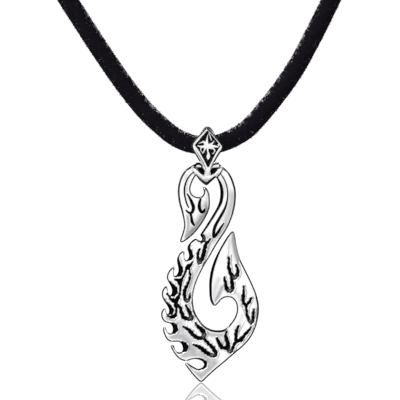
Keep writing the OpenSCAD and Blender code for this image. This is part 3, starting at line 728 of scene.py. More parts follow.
def cut_field(p):
    """Distance from the deep grooves, whose walls are a little uneven as if cut by hand."""
    uneven = np.sin(5.3 * p[:, 0] + 2.1 * p[:, 1]) * np.sin(4.7 * p[:, 1] - 3.1 * p[:, 0])
    knobs = np.sin(11.3 * p[:, 0] - 3.7 * p[:, 1]) * np.sin(9.1 * p[:, 1] + 4.3 * p[:, 0])
    return stroke_distance(deep_cuts, p) - 0.04 + 0.09 * uneven + 0.03 * knobs


def fine_field(p):
    return stroke_distance(fine_cuts, p)


def collar_field(p):
    return stroke_distance([COLLAR], p, 2)


# %% How wide the edge is filed
CURL_EDGES = [  # inner edges of the wave curls, which are hardly filed
    (-4.6, -22.3), (-6.9, -25.5), (-8.0, -29.2), (-8.35, -33.2), (-8.2, -37.2), (-6.6, -41.1),
]
WIDER, NARROWER, ON_CURLS = 0.1, 0.1, 0.22  # how far the filed edge departs from its width


def on_curl(p):
    """Share by which a point lies at the inner edge of a wave curl, to the curl's right."""
    near = sum(np.exp(-((p - curl) ** 2).sum(1) / 0.5) for curl in np.array(CURL_EDGES))
    close = near > 0.02  # only these points are measured, because that takes long
    step = 0.05
    here = inside_distance(hook_loop, p[close])
    beside = inside_distance(hook_loop, p[close] + np.array([step, 0]))
    share = np.zeros(len(p))
    share[close] = near[close] * ramp((here - beside) / step, 0, 0.5)
    return share


def broken(p):
    """Width of the filed edge: wider round the arches, on the leaf's tip and beside the
    arm, and narrow in the wave curls and at the lower left of the round opening."""
    arches = ramp(abs(p[:, 0]), 3.7, 4.5) * ramp(p[:, 1], -15, -12)
    shoulders = ramp(p[:, 1], -5.5, -4.8)
    leaf_tip = np.exp(-((p[:, 0] + 0.3) ** 2 + (p[:, 1] + 8.6) ** 2) / 0.5)
    opening = np.exp(-((p[:, 0] + 1.7) ** 2 + (p[:, 1] + 34.2) ** 2) / 5)
    arm = ramp(p[:, 0], 9.2, 9.7) * ramp(p[:, 1], -37.5, -35.5) * ramp(-p[:, 1], 29, 31)
    wide = np.maximum(np.maximum(arches, shoulders), np.maximum(leaf_tip, arm))
    return BROKEN + WIDER * wide - NARROWER * opening - ON_CURLS * on_curl(p)


def filed(edge, width):
    """Drop of a face towards its edge, where a file broke it in a narrow slanted strip."""
    return -FILED_SLOPE * width * np.clip(1 - edge / width, 0, 1)


# %% Heights of the hook's face and back


def hook_front(p):
    """How far along Y the hook's face lies at each point of its drawing, in mm."""
    edge = inside_distance(hook_loop, p)
    deep, fine, collar = cut_field(p), fine_field(p), collar_field(p)
    pocket = -inside_distance(pocket_loop, p)
    in_eye = ramp(-abs(p[:, 0]), -2.05, -1.9) * ramp(p[:, 1], -6.9, -6.8)
    rise = filed(edge, broken(p)) * (1 - in_eye)
    rise += CROWN * (1 - np.exp(-np.maximum(edge, 0) / 0.8))
    for line, drop, wide in SLOPES:
        away = stroke_distance([[(x, z, 0) for x, z in line]], p, 4 * wide)
        rise -= drop * (np.exp(-away / wide) - np.exp(-4)).clip(0)
    rise += DEEP_LIP * np.exp(-(((deep - 0.18) / 0.12) ** 2))
    rise += FINE_LIP * np.exp(-(((fine - 0.1) / 0.08) ** 2))
    rise += COLLAR_RISE * np.clip(-collar / COLLAR_WALL, 0, 1)
    rise -= np.clip(-deep * GROOVE_WALL, 0, DEEP_CUT)
    rise -= np.clip(-fine * GROOVE_WALL, 0, FINE_CUT)
    sunk = ramp(-pocket, -0.06, 0.08)
    beside_slot = ramp(-abs(p[:, 0]), -1.05, -0.95)
    rise = rise * (1 - sunk) - (POCKET_DEPTH + SLOT_DEPTH * beside_slot) * sunk
    return -(FACE + rise)


def hook_back(p):
    return FACE - BACK_DROP * np.clip(1 - inside_distance(hook_loop, p) / BACK_EDGE, 0, 1)


# %% Fill and raise the hook
FACE_EDGES = [  # a distance, its levels where the face has an edge, and how far points move
    (lambda p: inside_distance(hook_loop, p) - broken(p), (0.0,), 0.06),
    (collar_field, (0.0, -COLLAR_WALL), 0.05),
    (cut_field, (0.18, 0.0, -0.15), 0.055),
    (fine_field, (0.0, -0.09), 0.04),
    (lambda p: stroke_distance(PAINTED_SHADE_UNDER_COLLAR, p), (0.0,), 0.05),
]
points = drawn_net(hook_loop, 0.115, (0.07, 0.06), FACE_EDGES, 0.045)
print("face points", len(points))
back_points = plain_net(hook_loop, 0.6, BACK_EDGE)
hook, flat = relief("hook_casting", hook_loop, points, hook_front, hook_back, back_points)
print("hook faces", len(hook.data.polygons))

# %% [markdown]
# ### The bar in the eye
# A short round bar crosses the eye, and the bail's lower bend swings on it. Its ends run
# into the casting on both sides.

# %% Helper that joins a part to a casting


def join_into(obj, bm):
    """Adds a mesh to an object's own and gives the number of points that it had before."""
    count = len(obj.data.vertices)
    extra = bpy.data.meshes.new("extra")
    bm.to_mesh(extra)
    bm.free()
    both = bmesh.new()
    both.from_mesh(obj.data)
    both.from_mesh(extra)
    both.to_mesh(obj.data)
    both.free()
    bpy.data.meshes.remove(extra)
    return count


# %% Bar in the hook's eye
BAR_R = 0.65
BAR_Z = -4.05
BAR_LENGTH = 4.6

bm = bmesh.new()
bmesh.ops.create_cone(
    bm,
    cap_ends=True,
    segments=40,
    radius1=BAR_R * MM,
    radius2=BAR_R * MM,
    depth=BAR_LENGTH * MM,
    matrix=Matrix.Translation((0, 0, (LOW_Z + BAR_Z) * MM)) @ Matrix.Rotation(math.pi / 2, 4, "Y"),
)
across_bar = [e for e in bm.edges if abs((e.verts[0].co - e.verts[1].co).x) > MM]
bmesh.ops.subdivide_edges(bm, edges=across_bar, cuts=24, use_grid_fill=False)
bar_start = join_into(hook, bm)
print("bar points", len(hook.data.vertices) - bar_start)

# %% [markdown]
# ### Blackening and painted shade
# A casting like this is dipped in a blackening bath and then polished, so the black stays
# only where the wheel can't reach. A painted picture could show that, but it would have to
# be drawn again after each change. Here every point of the face gets one number, its share
# of black, worked out from the same distances that cut the grooves, and the metal's material
# reads it. So groove and black always agree. The same number also holds painted shade: a
# black strip along the collar's lower edge, and the black bar with its two painted highlights.

# %% Fine scratches that stayed black, and places where grains of metal shine through
THIN_LINES = [
    [(6.8, -31.8, 0.04), (7.15, -32.8, 0.06), (7.46, -33.7, 0.04)],
    [(7.4, -35.3, 0.03), (6.8, -36.5, 0.05), (6.16, -37.6, 0.03)],
    [(4.3, -20.9, 0.03), (4.1, -21.8, 0.05), (3.84, -22.7, 0.04)],
    [(1.25, -22.2, 0.03), (0.95, -23.2, 0.09), (0.8, -24.1, 0.09), (0.65, -25.2, 0.03)],
    [(-6.7, -39.9, 0.03), (-6.35, -40.7, 0.06), (-5.9, -41.3, 0.03)],
    [(-3.8, -43.6, 0.03), (-3.4, -44.4, 0.05), (-2.9, -45.0, 0.03)],
]
GRAINS = [
    (-1.65, -23.2), (-4.05, -31.0), (-3.5, -34.4), (-0.75, -38.0), (1.0, -41.8), (4.5, -41.1),
    (8.6, -35.1), (5.5, -26.3), (4.5, -28.9), (-0.9, -18.6),
]
print("scratches", len(THIN_LINES), "grains", len(GRAINS))

# %% Share of black at each point


def grit(p):
    """Fine unevenness of the blackened fields, from a few crossed waves."""
    x, z = p[:, 0], p[:, 1]
    coarse = np.sin(7.1 * x + 3.3 * z) * np.sin(9.7 * z - 2.9 * x)
    return (coarse + np.sin(17 * x) * np.sin(19 * z + 5 * x)) / 2


def hook_patina_and_painted_shade(p):
    """1 where the blackening was left in the recesses and where shade is painted under the collar,
    0 where it was polished off.
    """
    deep, fine, thin = cut_field(p), fine_field(p), stroke_distance(THIN_LINES, p)
    black = 1 - ramp(np.minimum(deep, fine), -0.02, 0.07)
    black = np.maximum(black, 0.75 * (1 - ramp(thin, -0.02, 0.05)))
    # painted shade: the strip along the collar's lower edge is black
    black = np.maximum(black, 1 - ramp(stroke_distance(PAINTED_SHADE_UNDER_COLLAR, p), -0.04, 0.05))
    pocket = -inside_distance(pocket_loop, p)
    black = np.maximum(black, 1 - ramp(pocket, -0.04, 0.06))
    seam = np.exp(-(((collar_field(p) - 0.03) / 0.05) ** 2)) * (p[:, 1] < -4.9)
    for grain in GRAINS:
        near = np.exp(-(((p - grain) ** 2).sum(1)) / 0.14)
        black -= 0.9 * near * ramp(grit(3 * p), 0.1, 0.45)
    return np.clip(np.maximum(black, 0.9 * seam), 0, 1)


# %% Helper that stores numbers on points


def paint(obj, name, values, start=None, more=()):
    """Stores one number for each point of a mesh, for its material to read: the face's
    points first, and from start on the points of a part that was joined on."""
    full = np.zeros(len(obj.data.vertices))
    full[: len(values)] = values
    if start is not None:
        full[start:] = more
    obj.data.attributes.new(name, "FLOAT", "POINT").data.foreach_set("value", full)


# %% Blacken the hook, and paint its bar black as shade apart from two painted highlights
# the bar is painted black as shade, apart from two painted highlights at these patches
BAR_PAINTED_HIGHLIGHTS = [  # x, z and how far each bright patch reaches to the side and up
    (-1.78, -4.3, 0.6, 0.42), (1.6, -4.15, 1.1, 0.55),
]
bar = np.array([v.co for v in hook.data.vertices[bar_start:]]) / MM
bar_z = bar[:, 2] - LOW_Z
shine = [np.hypot((bar[:, 0] - x) / wide, (bar_z - z) / high) for x, z, wide, high in BAR_PAINTED_HIGHLIGHTS]
bar_painted_shade = ramp(np.min(shine, axis=0), 0.75, 1.1)
hook_black = hook_patina_and_painted_shade(flat)
paint(hook, "patina_and_painted_shade", hook_black, bar_start, bar_painted_shade)
print("black share of the face", round(float(hook_black.mean()), 2))

# %% [markdown]
# ### Painted shade
# Beside the curls, between the grooves and on the slopes the face's colour is painted grey
# as shade, and this painted shade is what gives the flat casting its shape in the picture.
# Each such place is a short line with a reach and a strength, and it is stored on the points
# just as the black is. The back was only brushed.

# %% Where grey shade is painted on the face: a line, its reach and how grey
SATIN_AND_PAINTED_SHADE = [
    ([(-7.6, -35.3), (-6.9, -38.0), (-5.0, -38.4), (-3.5, -40.2), (-2.6, -42.0)], 1.7, 0.58),
    ([(-5.4, -42.2), (-3.2, -41.6), (-0.6, -42.3), (0.9, -43.6)], 1.0, 0.5),
    ([(-2.9, -44.9), (-1.3, -46.0), (0.3, -44.8), (1.3, -43.4)], 1.2, 0.55),
    ([(-1.6, -45.6), (-1.2, -46.3)], 0.7, 0.62),
    ([(-7.2, -36.2), (-5.4, -35.4), (-5.0, -37.2)], 0.8, 0.45),
    ([(0.25, -9.2), (0.3, -10.6), (0.25, -12.0)], 0.75, 0.5),
    ([(0.1, -11.8), (-0.5, -13.4), (-1.7, -15.4), (-3.6, -17.9)], 1.1, 0.66),
    ([(-3.9, -14.1), (-3.85, -16.0), (-4.3, -18.2)], 0.5, 0.6),
    ([(0.6, -18.2), (-0.6, -22.4), (-1.7, -24.6), (-2.9, -27.4), (-3.4, -30.2),
      (-3.0, -33.4)], 1.0, 0.42),
    ([(4.9, -9.5), (4.8, -11.5), (4.0, -14), (2.9, -16.6), (1.4, -19.0)], 0.8, 0.4),
    ([(5.5, -18.6), (5.9, -21.2), (6.6, -23.6)], 0.7, 0.8),
    ([(4.4, -18.6), (4.2, -20.6)], 0.35, 0.35),
    ([(2.95, -28.3), (2.2, -29.9), (1.6, -31.2)], 0.55, 0.65),
    ([(2.2, -26.8), (1.5, -28.8), (1.1, -30.9)], 0.7, 0.3),
    ([(8.3, -27.3), (9.4, -30.1), (9.75, -32.7), (9.5, -34.8), (8.8, -36.8)], 0.2, 0.28),
    ([(-4.15, -6.2), (-4.3, -7.6), (-4.1, -9.3), (-3.9, -10.4)], 0.6, 0.35),
    ([(3.05, -6.4), (3.35, -8.0), (3.35, -9.6)], 0.5, 0.35),
    ([(-0.3, -37.4), (1.1, -37.8), (3.2, -37.8)], 0.7, 0.55),
    ([(3.3, -38.2), (3.1, -39.6)], 0.4, 0.4),
    ([(5.2, -36.6), (6.4, -35.4), (7.0, -33.8)], 0.5, 0.2),
    ([(5.1, -29.3), (6.3, -30.0), (6.7, -32.0)], 0.55, 0.3),
    ([(-2.3, -5.9), (-0.1, -7.3), (2.3, -5.8)], 0.5, 0.6),
    ([(-0.6, -7.0), (0.5, -6.9)], 0.5, 0.6),
]
print("places with softer polish", len(SATIN_AND_PAINTED_SHADE))

# %% Share of grey at each point


def hook_satin_and_painted_shade(p):
    grey = np.zeros(len(p))
    for line, wide, amount in SATIN_AND_PAINTED_SHADE:
        away = stroke_distance([[(x, z, 0) for x, z in line]], p, 2 * wide)
        grey = np.maximum(grey, amount * (1 - ramp(away, 0, wide * 1.4)))
    lips = ramp(np.minimum(cut_field(p), fine_field(p)), 0.08, 0.35)
    margin = ramp(inside_distance(hook_loop, p), BROKEN + 0.1, BROKEN + 0.4)
    return grey * lips * np.maximum(margin, ramp(-collar_field(p), 0.1, 0.3))


BACK_SATIN = 0.5  # the back is only brushed, and the bar is bright
behind = np.full(len(hook.data.vertices) - len(flat), BACK_SATIN)
behind[bar_start - len(flat):] = 0
hook_painted_shade = hook_satin_and_painted_shade(flat)
paint(hook, "satin", hook_painted_shade, len(flat), behind)
print("most grey", round(float(hook_painted_shade.max()), 2))

# %% [markdown]
# ## The bail
# The bail has two parts that are cast together. A flat band goes round the cord, narrows
# towards its lower bend and goes through the hook's eye. A kite-shaped plate covers its
# front, with a bright rim, a sunk black field and a raised star, and runs down into a stem.
# The band is a small rectangle swept round a loop and bevelled. The plate is a relief.

# %% Sizes of the band
BAND_HALF = [  # height, and half of the band's width there
    (3.86, 0.3), (3.7, 0.6), (3.2, 1.05), (2.65, 1.35), (2.1, 1.6), (-0.6, 1.6),
    (-1.5, 1.2), (-2.2, 0.8), (-2.7, 0.56), (-3.6, 0.54), (-4.4, 0.52), (-5.4, 0.5), (-6.3, 0.5),
]
OUTER = (0.3, 3.5, -4.05, 2.0)  # upper round's height and radius, lower round's
INNER = (-0.1, 2.4, -4.05, 0.95)
print("band widths", len(BAND_HALF))


# %% Side view of the band


def belt_line(belt, arc_steps, line_steps):
    """Points (y, z) of a belt round two rounds, from its top forward and down."""
    z1, r1, z2, r2 = belt
    lean = math.asin((r1 - r2) / (z1 - z2))
    meet = math.pi / 2 + lean  # angle from the top at which the upper round ends
    line = []
    for k in range(arc_steps):
        a = meet * k / arc_steps
        line.append((-r1 * math.sin(a), z1 + r1 * math.cos(a)))
    top = np.array([-r1 * math.sin(meet), z1 + r1 * math.cos(meet)])
    foot = np.array([-r2 * math.sin(meet), z2 + r2 * math.cos(meet)])
    for k in range(line_steps):
        line.append(tuple(top + (foot - top) * k / line_steps))
    for k in range(arc_steps + 1):
        a = meet + (math.pi - meet) * k / arc_steps
        line.append((-r2 * math.sin(a), z2 + r2 * math.cos(a)))
    return line + [(-y, z) for y, z in line[-2:0:-1]]


# %% Where the plate's face lies, and how wide the band is
LEAN = math.radians(8)
STEM_LEAN = math.radians(43)
BEND = 0.08


def bail_face(z):
    """The plate's face leans forward at its top. Below it bends back into the stem."""
    plate = -3.5 - math.tan(LEAN) * (z - 0.3)
    stem = -2.45 - math.tan(STEM_LEAN) * (z + 4.02)
    return np.logaddexp(plate / BEND, stem / BEND) * BEND


def half_width(z):
    rows = np.array(BAND_HALF[::-1])
    return float(np.interp(z, rows[:, 0], rows[:, 1]))


# %% Cross sections of the band
sections = []
for (yo, zo), (yi, zi) in zip(belt_line(OUTER, 14, 10), belt_line(INNER, 14, 10)):
    if yo < 0:  # in front the band's face stays inside the plate, below its sunk field
        yo = max(yo, bail_face(zo) + float(np.interp(zo, (-4.7, -4.3), (0.25, 0.6))))
    wo, wi = half_width(zo), half_width(zi if zi > -4 else zo)
    wi = min(wi, wo)
    sections.append([(-wo, yo, zo), (wo, yo, zo), (wi, yi, zi), (-wi, yi, zi)])
print("sections", len(sections))

# %% Sweep the band through its sections
bm = bmesh.new()
ring = [bm.verts.new(c) for c in sections[0]]
edges = [bm.edges.new((ring[k], ring[(k + 1) % 4])) for k in range(4)]
first_ring = edges
for section in sections[1:]:
    made = bmesh.ops.extrude_edge_only(bm, edges=edges)["geom"]
    new_edges = [g for g in made if isinstance(g, bmesh.types.BMEdge)]
    below = {v: u for e in new_edges for v in e.verts for l in v.link_edges for u in l.verts
             if u in ring}
    moved = sorted(below, key=lambda v: ring.index(below[v]))
    for v, place_at in zip(moved, section):
        v.co = place_at
    ring = moved
    edges = [bm.edges.get((ring[k], ring[(k + 1) % 4])) for k in range(4)]
bmesh.ops.bridge_loops(bm, edges=edges + first_ring)
bmesh.ops.recalc_face_normals(bm, faces=bm.faces)
print("band faces before rounding", len(bm.faces))

# %% Round the band's edges
BAND_ROUND = 0.2

corners = [e for e in bm.edges if e.is_manifold and e.calc_face_angle() > math.radians(50)]
bmesh.ops.bevel(
    bm, geom=corners, offset=BAND_ROUND, offset_type="OFFSET", segments=3, profile=0.5,
    affect="EDGES", clamp_overlap=True, material=-1,
)
bmesh.ops.transform(bm, matrix=Matrix.Translation((0, 0, LOW_Z * MM)) @ Matrix.Scale(MM, 4),
                    verts=bm.verts)
print("band faces", len(bm.faces))
band_mesh = bm

# %% [markdown]
# ### The kite
# The plate in front of the band is a kite with a bright rounded rim, a sunk black field and a
# star with curled arms, and it runs down into a narrow stem. Its face leans forward at the
# top and bends back into the stem, so it isn't flat. It is made as the hook is, as a relief
# from a drawing, and its strokes stand up instead of sinking in.

# %% Outline of the kite and of its sunk field
KITE = [
    (-0.1, 3.5), (0.55, 2.95), (1.4, 2.05), (2.2, 1.1), (2.8, 0.4), (3.15, -0.3), (2.85, -1.1),
    (2.3, -1.9), (1.8, -2.7), (1.35, -3.6), (1.06, -4.2), (0.82, -4.7), (0.6, -5.2),
    (0.56, -5.6), (0.54, -5.95), (0.4, -6.05), (-0.4, -6.05), (-0.54, -5.95), (-0.56, -5.6),
    (-0.6, -5.25), (-0.84, -4.75), (-1.1, -4.2), (-1.4, -3.6), (-1.8, -2.9), (-2.4, -1.9),
    (-2.9, -1.1), (-3.2, -0.2), (-3.0, 0.5), (-2.5, 1.15), (-1.6, 2.15), (-0.85, 2.95),
    (-0.4, 3.4),
]
KITE_FIELD = [
    (0, 2.95), (1.3, 1.5), (2.6, -0.1), (1.9, -1.2), (1.1, -2.6), (0.25, -4.35),
    (0.05, -4.35), (-0.9, -2.5), (-1.7, -1.1), (-2.5, 0.05), (-1.3, 1.5),
]
kite_loop = even_steps(smooth_closed(KITE, 4), 0.08)
field_loop = even_steps(np.array(KITE_FIELD, float), 0.06)
print("kite outline", len(kite_loop), "field", len(field_loop))

# %% Strokes of the star and black lines along the rim: x, z and half the width
STAR = [
    [(-0.25, -0.1, 0.42), (0.35, -0.25, 0.46)],
    [(-0.1, 0.1, 0.38), (-0.12, 0.9, 0.24), (-0.02, 1.7, 0.13), (0.05, 2.1, 0.08)],
    [(0.55, 0.1, 0.28), (1.0, 0.45, 0.18), (1.3, 0.85, 0.1)],
    [(0.75, 1.05, 0.12), (0.65, 1.4, 0.14), (0.45, 2.0, 0.1), (0.25, 2.4, 0.1)],
    [(-0.4, 0.0, 0.26), (-0.62, 0.5, 0.2), (-0.78, 0.8, 0.15), (-1.2, 0.55, 0.14),
     (-1.75, 0.4, 0.07)],
    [(-0.4, -0.2, 0.34), (-1.2, -0.3, 0.24), (-1.95, -0.1, 0.12)],
    [(-0.5, -0.5, 0.25), (-0.62, -1.0, 0.16), (-0.95, -1.55, 0.14)],
    [(-1.3, -0.6, 0.16), (-1.35, -1.0, 0.1), (-1.1, -1.35, 0.08)],
    [(0.0, -0.4, 0.26), (0.05, -1.2, 0.18), (0.25, -1.8, 0.22), (0.3, -2.35, 0.24),
     (0.1, -2.8, 0.12)],
    [(0.05, -1.7, 0.12), (-0.1, -2.3, 0.14), (0.1, -2.8, 0.12)],
    [(0.4, -0.5, 0.22), (1.1, -0.65, 0.18), (1.45, -1.0, 0.16), (1.3, -1.45, 0.12),
     (1.0, -1.7, 0.1)],
    [(0.6, -0.25, 0.36), (1.4, -0.2, 0.26), (2.0, -0.35, 0.18)],
    [(1.9, -0.3, 0.14), (2.3, 0.0, 0.12), (2.1, 0.2, 0.08)],
]
RIM_LINES = [
    [(-2.4, -0.9, 0.02), (-1.95, -1.6, 0.06), (-1.25, -2.8, 0.08), (-0.65, -3.95, 0.07),
     (-0.3, -4.9, 0.03)],
    [(2.45, -1.0, 0.02), (2.0, -1.75, 0.03), (1.4, -2.9, 0.04), (0.9, -3.9, 0.05),
     (0.5, -4.8, 0.03)],
]
print("strokes in the star", len(STAR))

# %% Sizes of the kite
PLATE = 0.9  # thickness of the plate
RIM_EDGE = 0.3  # width of the rim's filed edge
STEM_NARROWER = 0.16  # and so much narrower down the stem
FIELD_DEPTH = 0.34
STAR_RISE = 0.36
KITE_BACK_EDGE = 0.15
KITE_BACK_DROP = 0.12
print("plate", PLATE, "mm")

# %% Heights of the kite's face and back


def star_field(p):
    return stroke_distance(STAR, p, 1.0) - 0.07


def rim_edge(p):
    return RIM_EDGE - STEM_NARROWER * ramp(-p[:, 1], 4.0, 4.8)


def kite_front(p):
    edge = inside_distance(kite_loop, p)
    field = inside_distance(field_loop, p)
    rise = filed(edge, rim_edge(p)) * ramp(p[:, 1], -6.0, -5.7)
    sunk = ramp(field, -0.04, 0.12)
    star = ramp(-star_field(p), -0.06, 0.14)
    floor = -FIELD_DEPTH + 0.05 * grit(p) * (1 - star) + STAR_RISE * star
    return bail_face(p[:, 1]) - (rise * (1 - sunk) + floor * sunk)


def kite_back(p):
    edge = inside_distance(kite_loop, p)
    drop = KITE_BACK_DROP * np.clip(1 - edge / KITE_BACK_EDGE, 0, 1)
    return bail_face(p[:, 1]) + PLATE - drop


# %% Fill and raise the kite
KITE_EDGES = [
    (lambda p: inside_distance(kite_loop, p) - rim_edge(p), (0.0,), 0.04),
    (lambda p: inside_distance(field_loop, p), (0.0, 0.1), 0.035),
    (star_field, (0.06, -0.12), 0.045),
]
points = drawn_net(kite_loop, 0.08, (0.05, 0.045), KITE_EDGES, 0.035)
back_points = plain_net(kite_loop, 0.3, KITE_BACK_EDGE)
bail, kite_flat = relief("bail_casting", kite_loop, points, kite_front, kite_back, back_points)
print("kite faces", len(bail.data.polygons))

# %% Where the bail is blackened


def kite_patina(p):
    field = inside_distance(field_loop, p)
    star = ramp(-star_field(p), 0.0, 0.07)
    speck = 0.25 * ramp(grit(p), 0.45, 0.8)
    sunk = ramp(field, -0.02, 0.06) * (1 - star) * (1 - speck)
    return np.maximum(sunk, 0.8 * (1 - ramp(stroke_distance(RIM_LINES, p), -0.03, 0.06)))


# %% Join the band to the kite and blacken its sides and top
SIDE_BLACK = 0.16  # width of the blackened strip along the band's sides
TOP_BLACK = 3.25  # height above which the band is black
DARK, PALE = 0.95, 0.25  # shares of black

band_start = join_into(bail, band_mesh)
band = np.array([v.co for v in bail.data.vertices[band_start:]]) / MM
band_z = band[:, 2] - LOW_Z
from_side = np.array([half_width(z) for z in band_z]) - abs(band[:, 0])
band_black = np.where((from_side < SIDE_BLACK) | (band_z > TOP_BLACK), DARK, PALE)
paint(bail, "patina_and_painted_shade", kite_patina(kite_flat), band_start, band_black)
paint(bail, "satin", np.zeros(1))
print("bail faces", len(bail.data.polygons))

# %% [markdown]
# ## The clasp
# The two cord ends are glued into a plain steel barrel of two halves that a magnet holds
# together. A barrel is a profile turned round an axis, so its outline, with the seam and the
# open sockets, is spun once round. The profile runs from the seam out and into the socket.

# %% Profile of the clasp
CLASP_HALF = [  # along the axis and radius
    (0, 2.9), (0.15, 2.9), (0.3, 3.1), (0.55, 3.2), (2.2, 3.2), (2.35, 3.08), (2.6, 3.08),
    (2.75, 3.2), (8.4, 3.2), (8.55, 3.08), (8.8, 3.08), (8.95, 3.2), (9.55, 3.2),
    (9.85, 3.08), (10, 2.8), (10, 2.2), (9.85, 1.98), (9.6, 1.93), (3.2, 1.93), (3.0, 1.7),
    (3.0, 0),
]
profile = [(-x, r) for x, r in CLASP_HALF[::-1]] + CLASP_HALF[1:]
print("profile points", len(profile))

# %% Spin the clasp
bm = bmesh.new()
chain = [bm.verts.new((x * MM, 0, r * MM)) for x, r in profile]
chain_edges = [bm.edges.new(pair) for pair in zip(chain[:-1], chain[1:])]
bmesh.ops.spin(
    bm, geom=chain + chain_edges, cent=(0, 0, 0), axis=(1, 0, 0), angle=math.tau, steps=72,
    use_merge=True,
)
bmesh.ops.remove_doubles(bm, verts=bm.verts, dist=1e-6)
bmesh.ops.recalc_face_normals(bm, faces=bm.faces)
clasp = shown("clasp_barrel", bm)
print("clasp faces", len(clasp.data.polygons))

# %% [markdown]
# ## Smooth faces and crisp edges
# Polished metal looks smooth although the mesh is made of small flat faces, so shading is
# smoothed. At a real corner it has to stay crisp, or dark wedges creep over the walls. An
# angle finds most corners. Where a filed edge meets a side wall the angle changes from face
# to face, so there every edge is marked.

# %% Crisp corners
CORNER = math.radians(32)


def smoothed(obj):
    """Smooth shading with crisp edges at corners."""
    obj.data.shade_smooth()
    obj.data.set_sharp_from_angle(angle=CORNER)


def crisp(obj):
    """Smooth shading that is always crisp where a wall meets a face as well."""
    smoothed(obj)
    mesh = obj.data
    bm = bmesh.new()
    bm.from_mesh(mesh)
    for edge in bm.edges:
        turned = sorted(abs(face.normal.y) for face in edge.link_faces)
        if turned[0] < 0.03 and turned[-1] > 0.2:
            edge.smooth = False
    bm.to_mesh(mesh)
    bm.free()


crisp(hook)
crisp(bail)
smoothed(clasp)
print("sharp edges on the hook", sum(e.use_edge_sharp for e in hook.data.edges))

# %% [markdown]
# ## Finishes
# A material is a small network of nodes. Written out node by node it is long and hard to
# read, so a few helpers do the wiring: they add a node with its inputs, and the kinds that
# come back often, such as noise, a bump and a mix of two colours, have a helper each.

# %% Helpers that wire nodes


def new_material(name):
    material = bpy.data.materials.new(name)
    material.use_nodes = True
    return material, material.node_tree, material.node_tree.nodes["Principled BSDF"]


def wire(tree, node, inputs):
    """Sets each input of a node, or links it to another node's output."""
    for key, value in inputs.items():
        if isinstance(value, bpy.types.NodeSocket):
            tree.links.new(value, node.inputs[key])
        else:
            node.inputs[key].default_value = value


def add(tree, kind, inputs=None, **settings):
    """Adds a node with its settings and its inputs."""
    node = tree.nodes.new("ShaderNode" + kind)
    for key, value in settings.items():
        setattr(node, key, value)
    wire(tree, node, inputs or {})
    return node


# %% Helpers for the nodes that come back often


def blend(tree, share, low, high):
    """Mixes two colours or two numbers by a share from 0 to 1."""
    colour = isinstance(low, (tuple, bpy.types.NodeSocketColor))
    node = tree.nodes.new("ShaderNodeMix")
    node.data_type = "RGBA" if colour else "FLOAT"
    at = (0, 6, 7) if colour else (0, 2, 3)
    wire(tree, node, dict(zip(at, (share, low, high))))
    return node.outputs[2 if colour else 0]


def calc(tree, operation, a, b):
    return add(tree, "Math", {0: a, 1: b}, operation=operation).outputs[0]


def stored(tree, name):
    """The numbers that are stored on a mesh's points under this name."""
    return add(tree, "Attribute", attribute_name=name).outputs["Fac"]


def noise(tree, place, scale, detail):
    inputs = {"Vector": place, "Scale": scale, "Detail": detail}
    return add(tree, "TexNoise", inputs).outputs["Fac"]


def bumpy(tree, height, strength, distance):
    """Normals of a surface with this height. The distance is in metres."""
    inputs = {"Height": height, "Strength": strength, "Distance": distance}
    return add(tree, "Bump", inputs).outputs["Normal"]


# %% [markdown]
# ### Polished metal
# Mirror polish has hardly a colour of its own, it shows what is round it. The numbers on the
# points turn it black and dull in the recesses, and also under the collar and on the bar,
# where the black is painted shade. They turn it grey on the brushed back and where shade is
# painted on the face. Two fine noises break up the mirror a little, as no hand polish is
# perfect, and a third makes the painted grey cloudy.

# %% Polished metal with blackened recesses and painted shade
metal, tree, shader = new_material("Polished metal")
place = add(tree, "TexCoord").outputs["Object"]
patina_and_painted_shade = stored(tree, "patina_and_painted_shade")
haze = noise(tree, place, 900.0, 3.0)
grain = noise(tree, place, 7000.0, 2.0)
cloud = noise(tree, place, 3000.0, 3.0)
satin = calc(tree, "MULTIPLY", stored(tree, "satin"), blend(tree, cloud, 0.7, 1.3))
# grey: painted shade on the face, and the brushed back
bright = blend(tree, satin, (0.95, 0.95, 0.96, 1), (0.13, 0.125, 0.15, 1))
black = blend(tree, grain, (0.001, 0.001, 0.001, 1), (0.008, 0.008, 0.009, 1))
polish = blend(tree, haze, 0.1, 0.2)
wire(tree, shader, {
    "Base Color": blend(tree, patina_and_painted_shade, bright, black),
    "Metallic": 1,
    "Roughness": blend(tree, patina_and_painted_shade, polish, 0.55),
    "Normal": bumpy(tree, grain, 0.06, 0.00003),
})
hook.data.materials.append(metal)
bail.data.materials.append(metal)
print("nodes in", metal.name, len(tree.nodes))

# %% [markdown]
# ### Brushed steel
# The clasp was turned on a lathe, and the tool leaves fine rings round it. Noise that is
# squeezed along the axis gives such rings, in the gloss and in a faint bump.

# %% Brushed steel of the clasp
steel, tree, shader = new_material("Brushed steel")
place = add(tree, "TexCoord").outputs["Object"]
rings = add(tree, "Mapping", {"Vector": place, "Scale": (12000, 400, 400)}).outputs["Vector"]
lines = noise(tree, rings, 1.0, 2.0)
wire(tree, shader, {
    "Base Color": (0.6, 0.6, 0.62, 1),
    "Metallic": 1,
    "Roughness": blend(tree, lines, 0.25, 0.42),
    "Normal": bumpy(tree, lines, 0.15, 0.00002),
})
clasp.data.materials.append(steel)
print("nodes in", steel.name, len(tree.nodes))

# %% [markdown]
# ### Black suede
# Dyed suede is nearly black with a touch of violet, and it hardly shines. The cord itself
# gets a soft uneven bump. Its hairs have a material of their own, which reads how pale each
# hair is, so the cord's lit side shows light specks instead of a gloss: a painted highlight
# on worn nap.

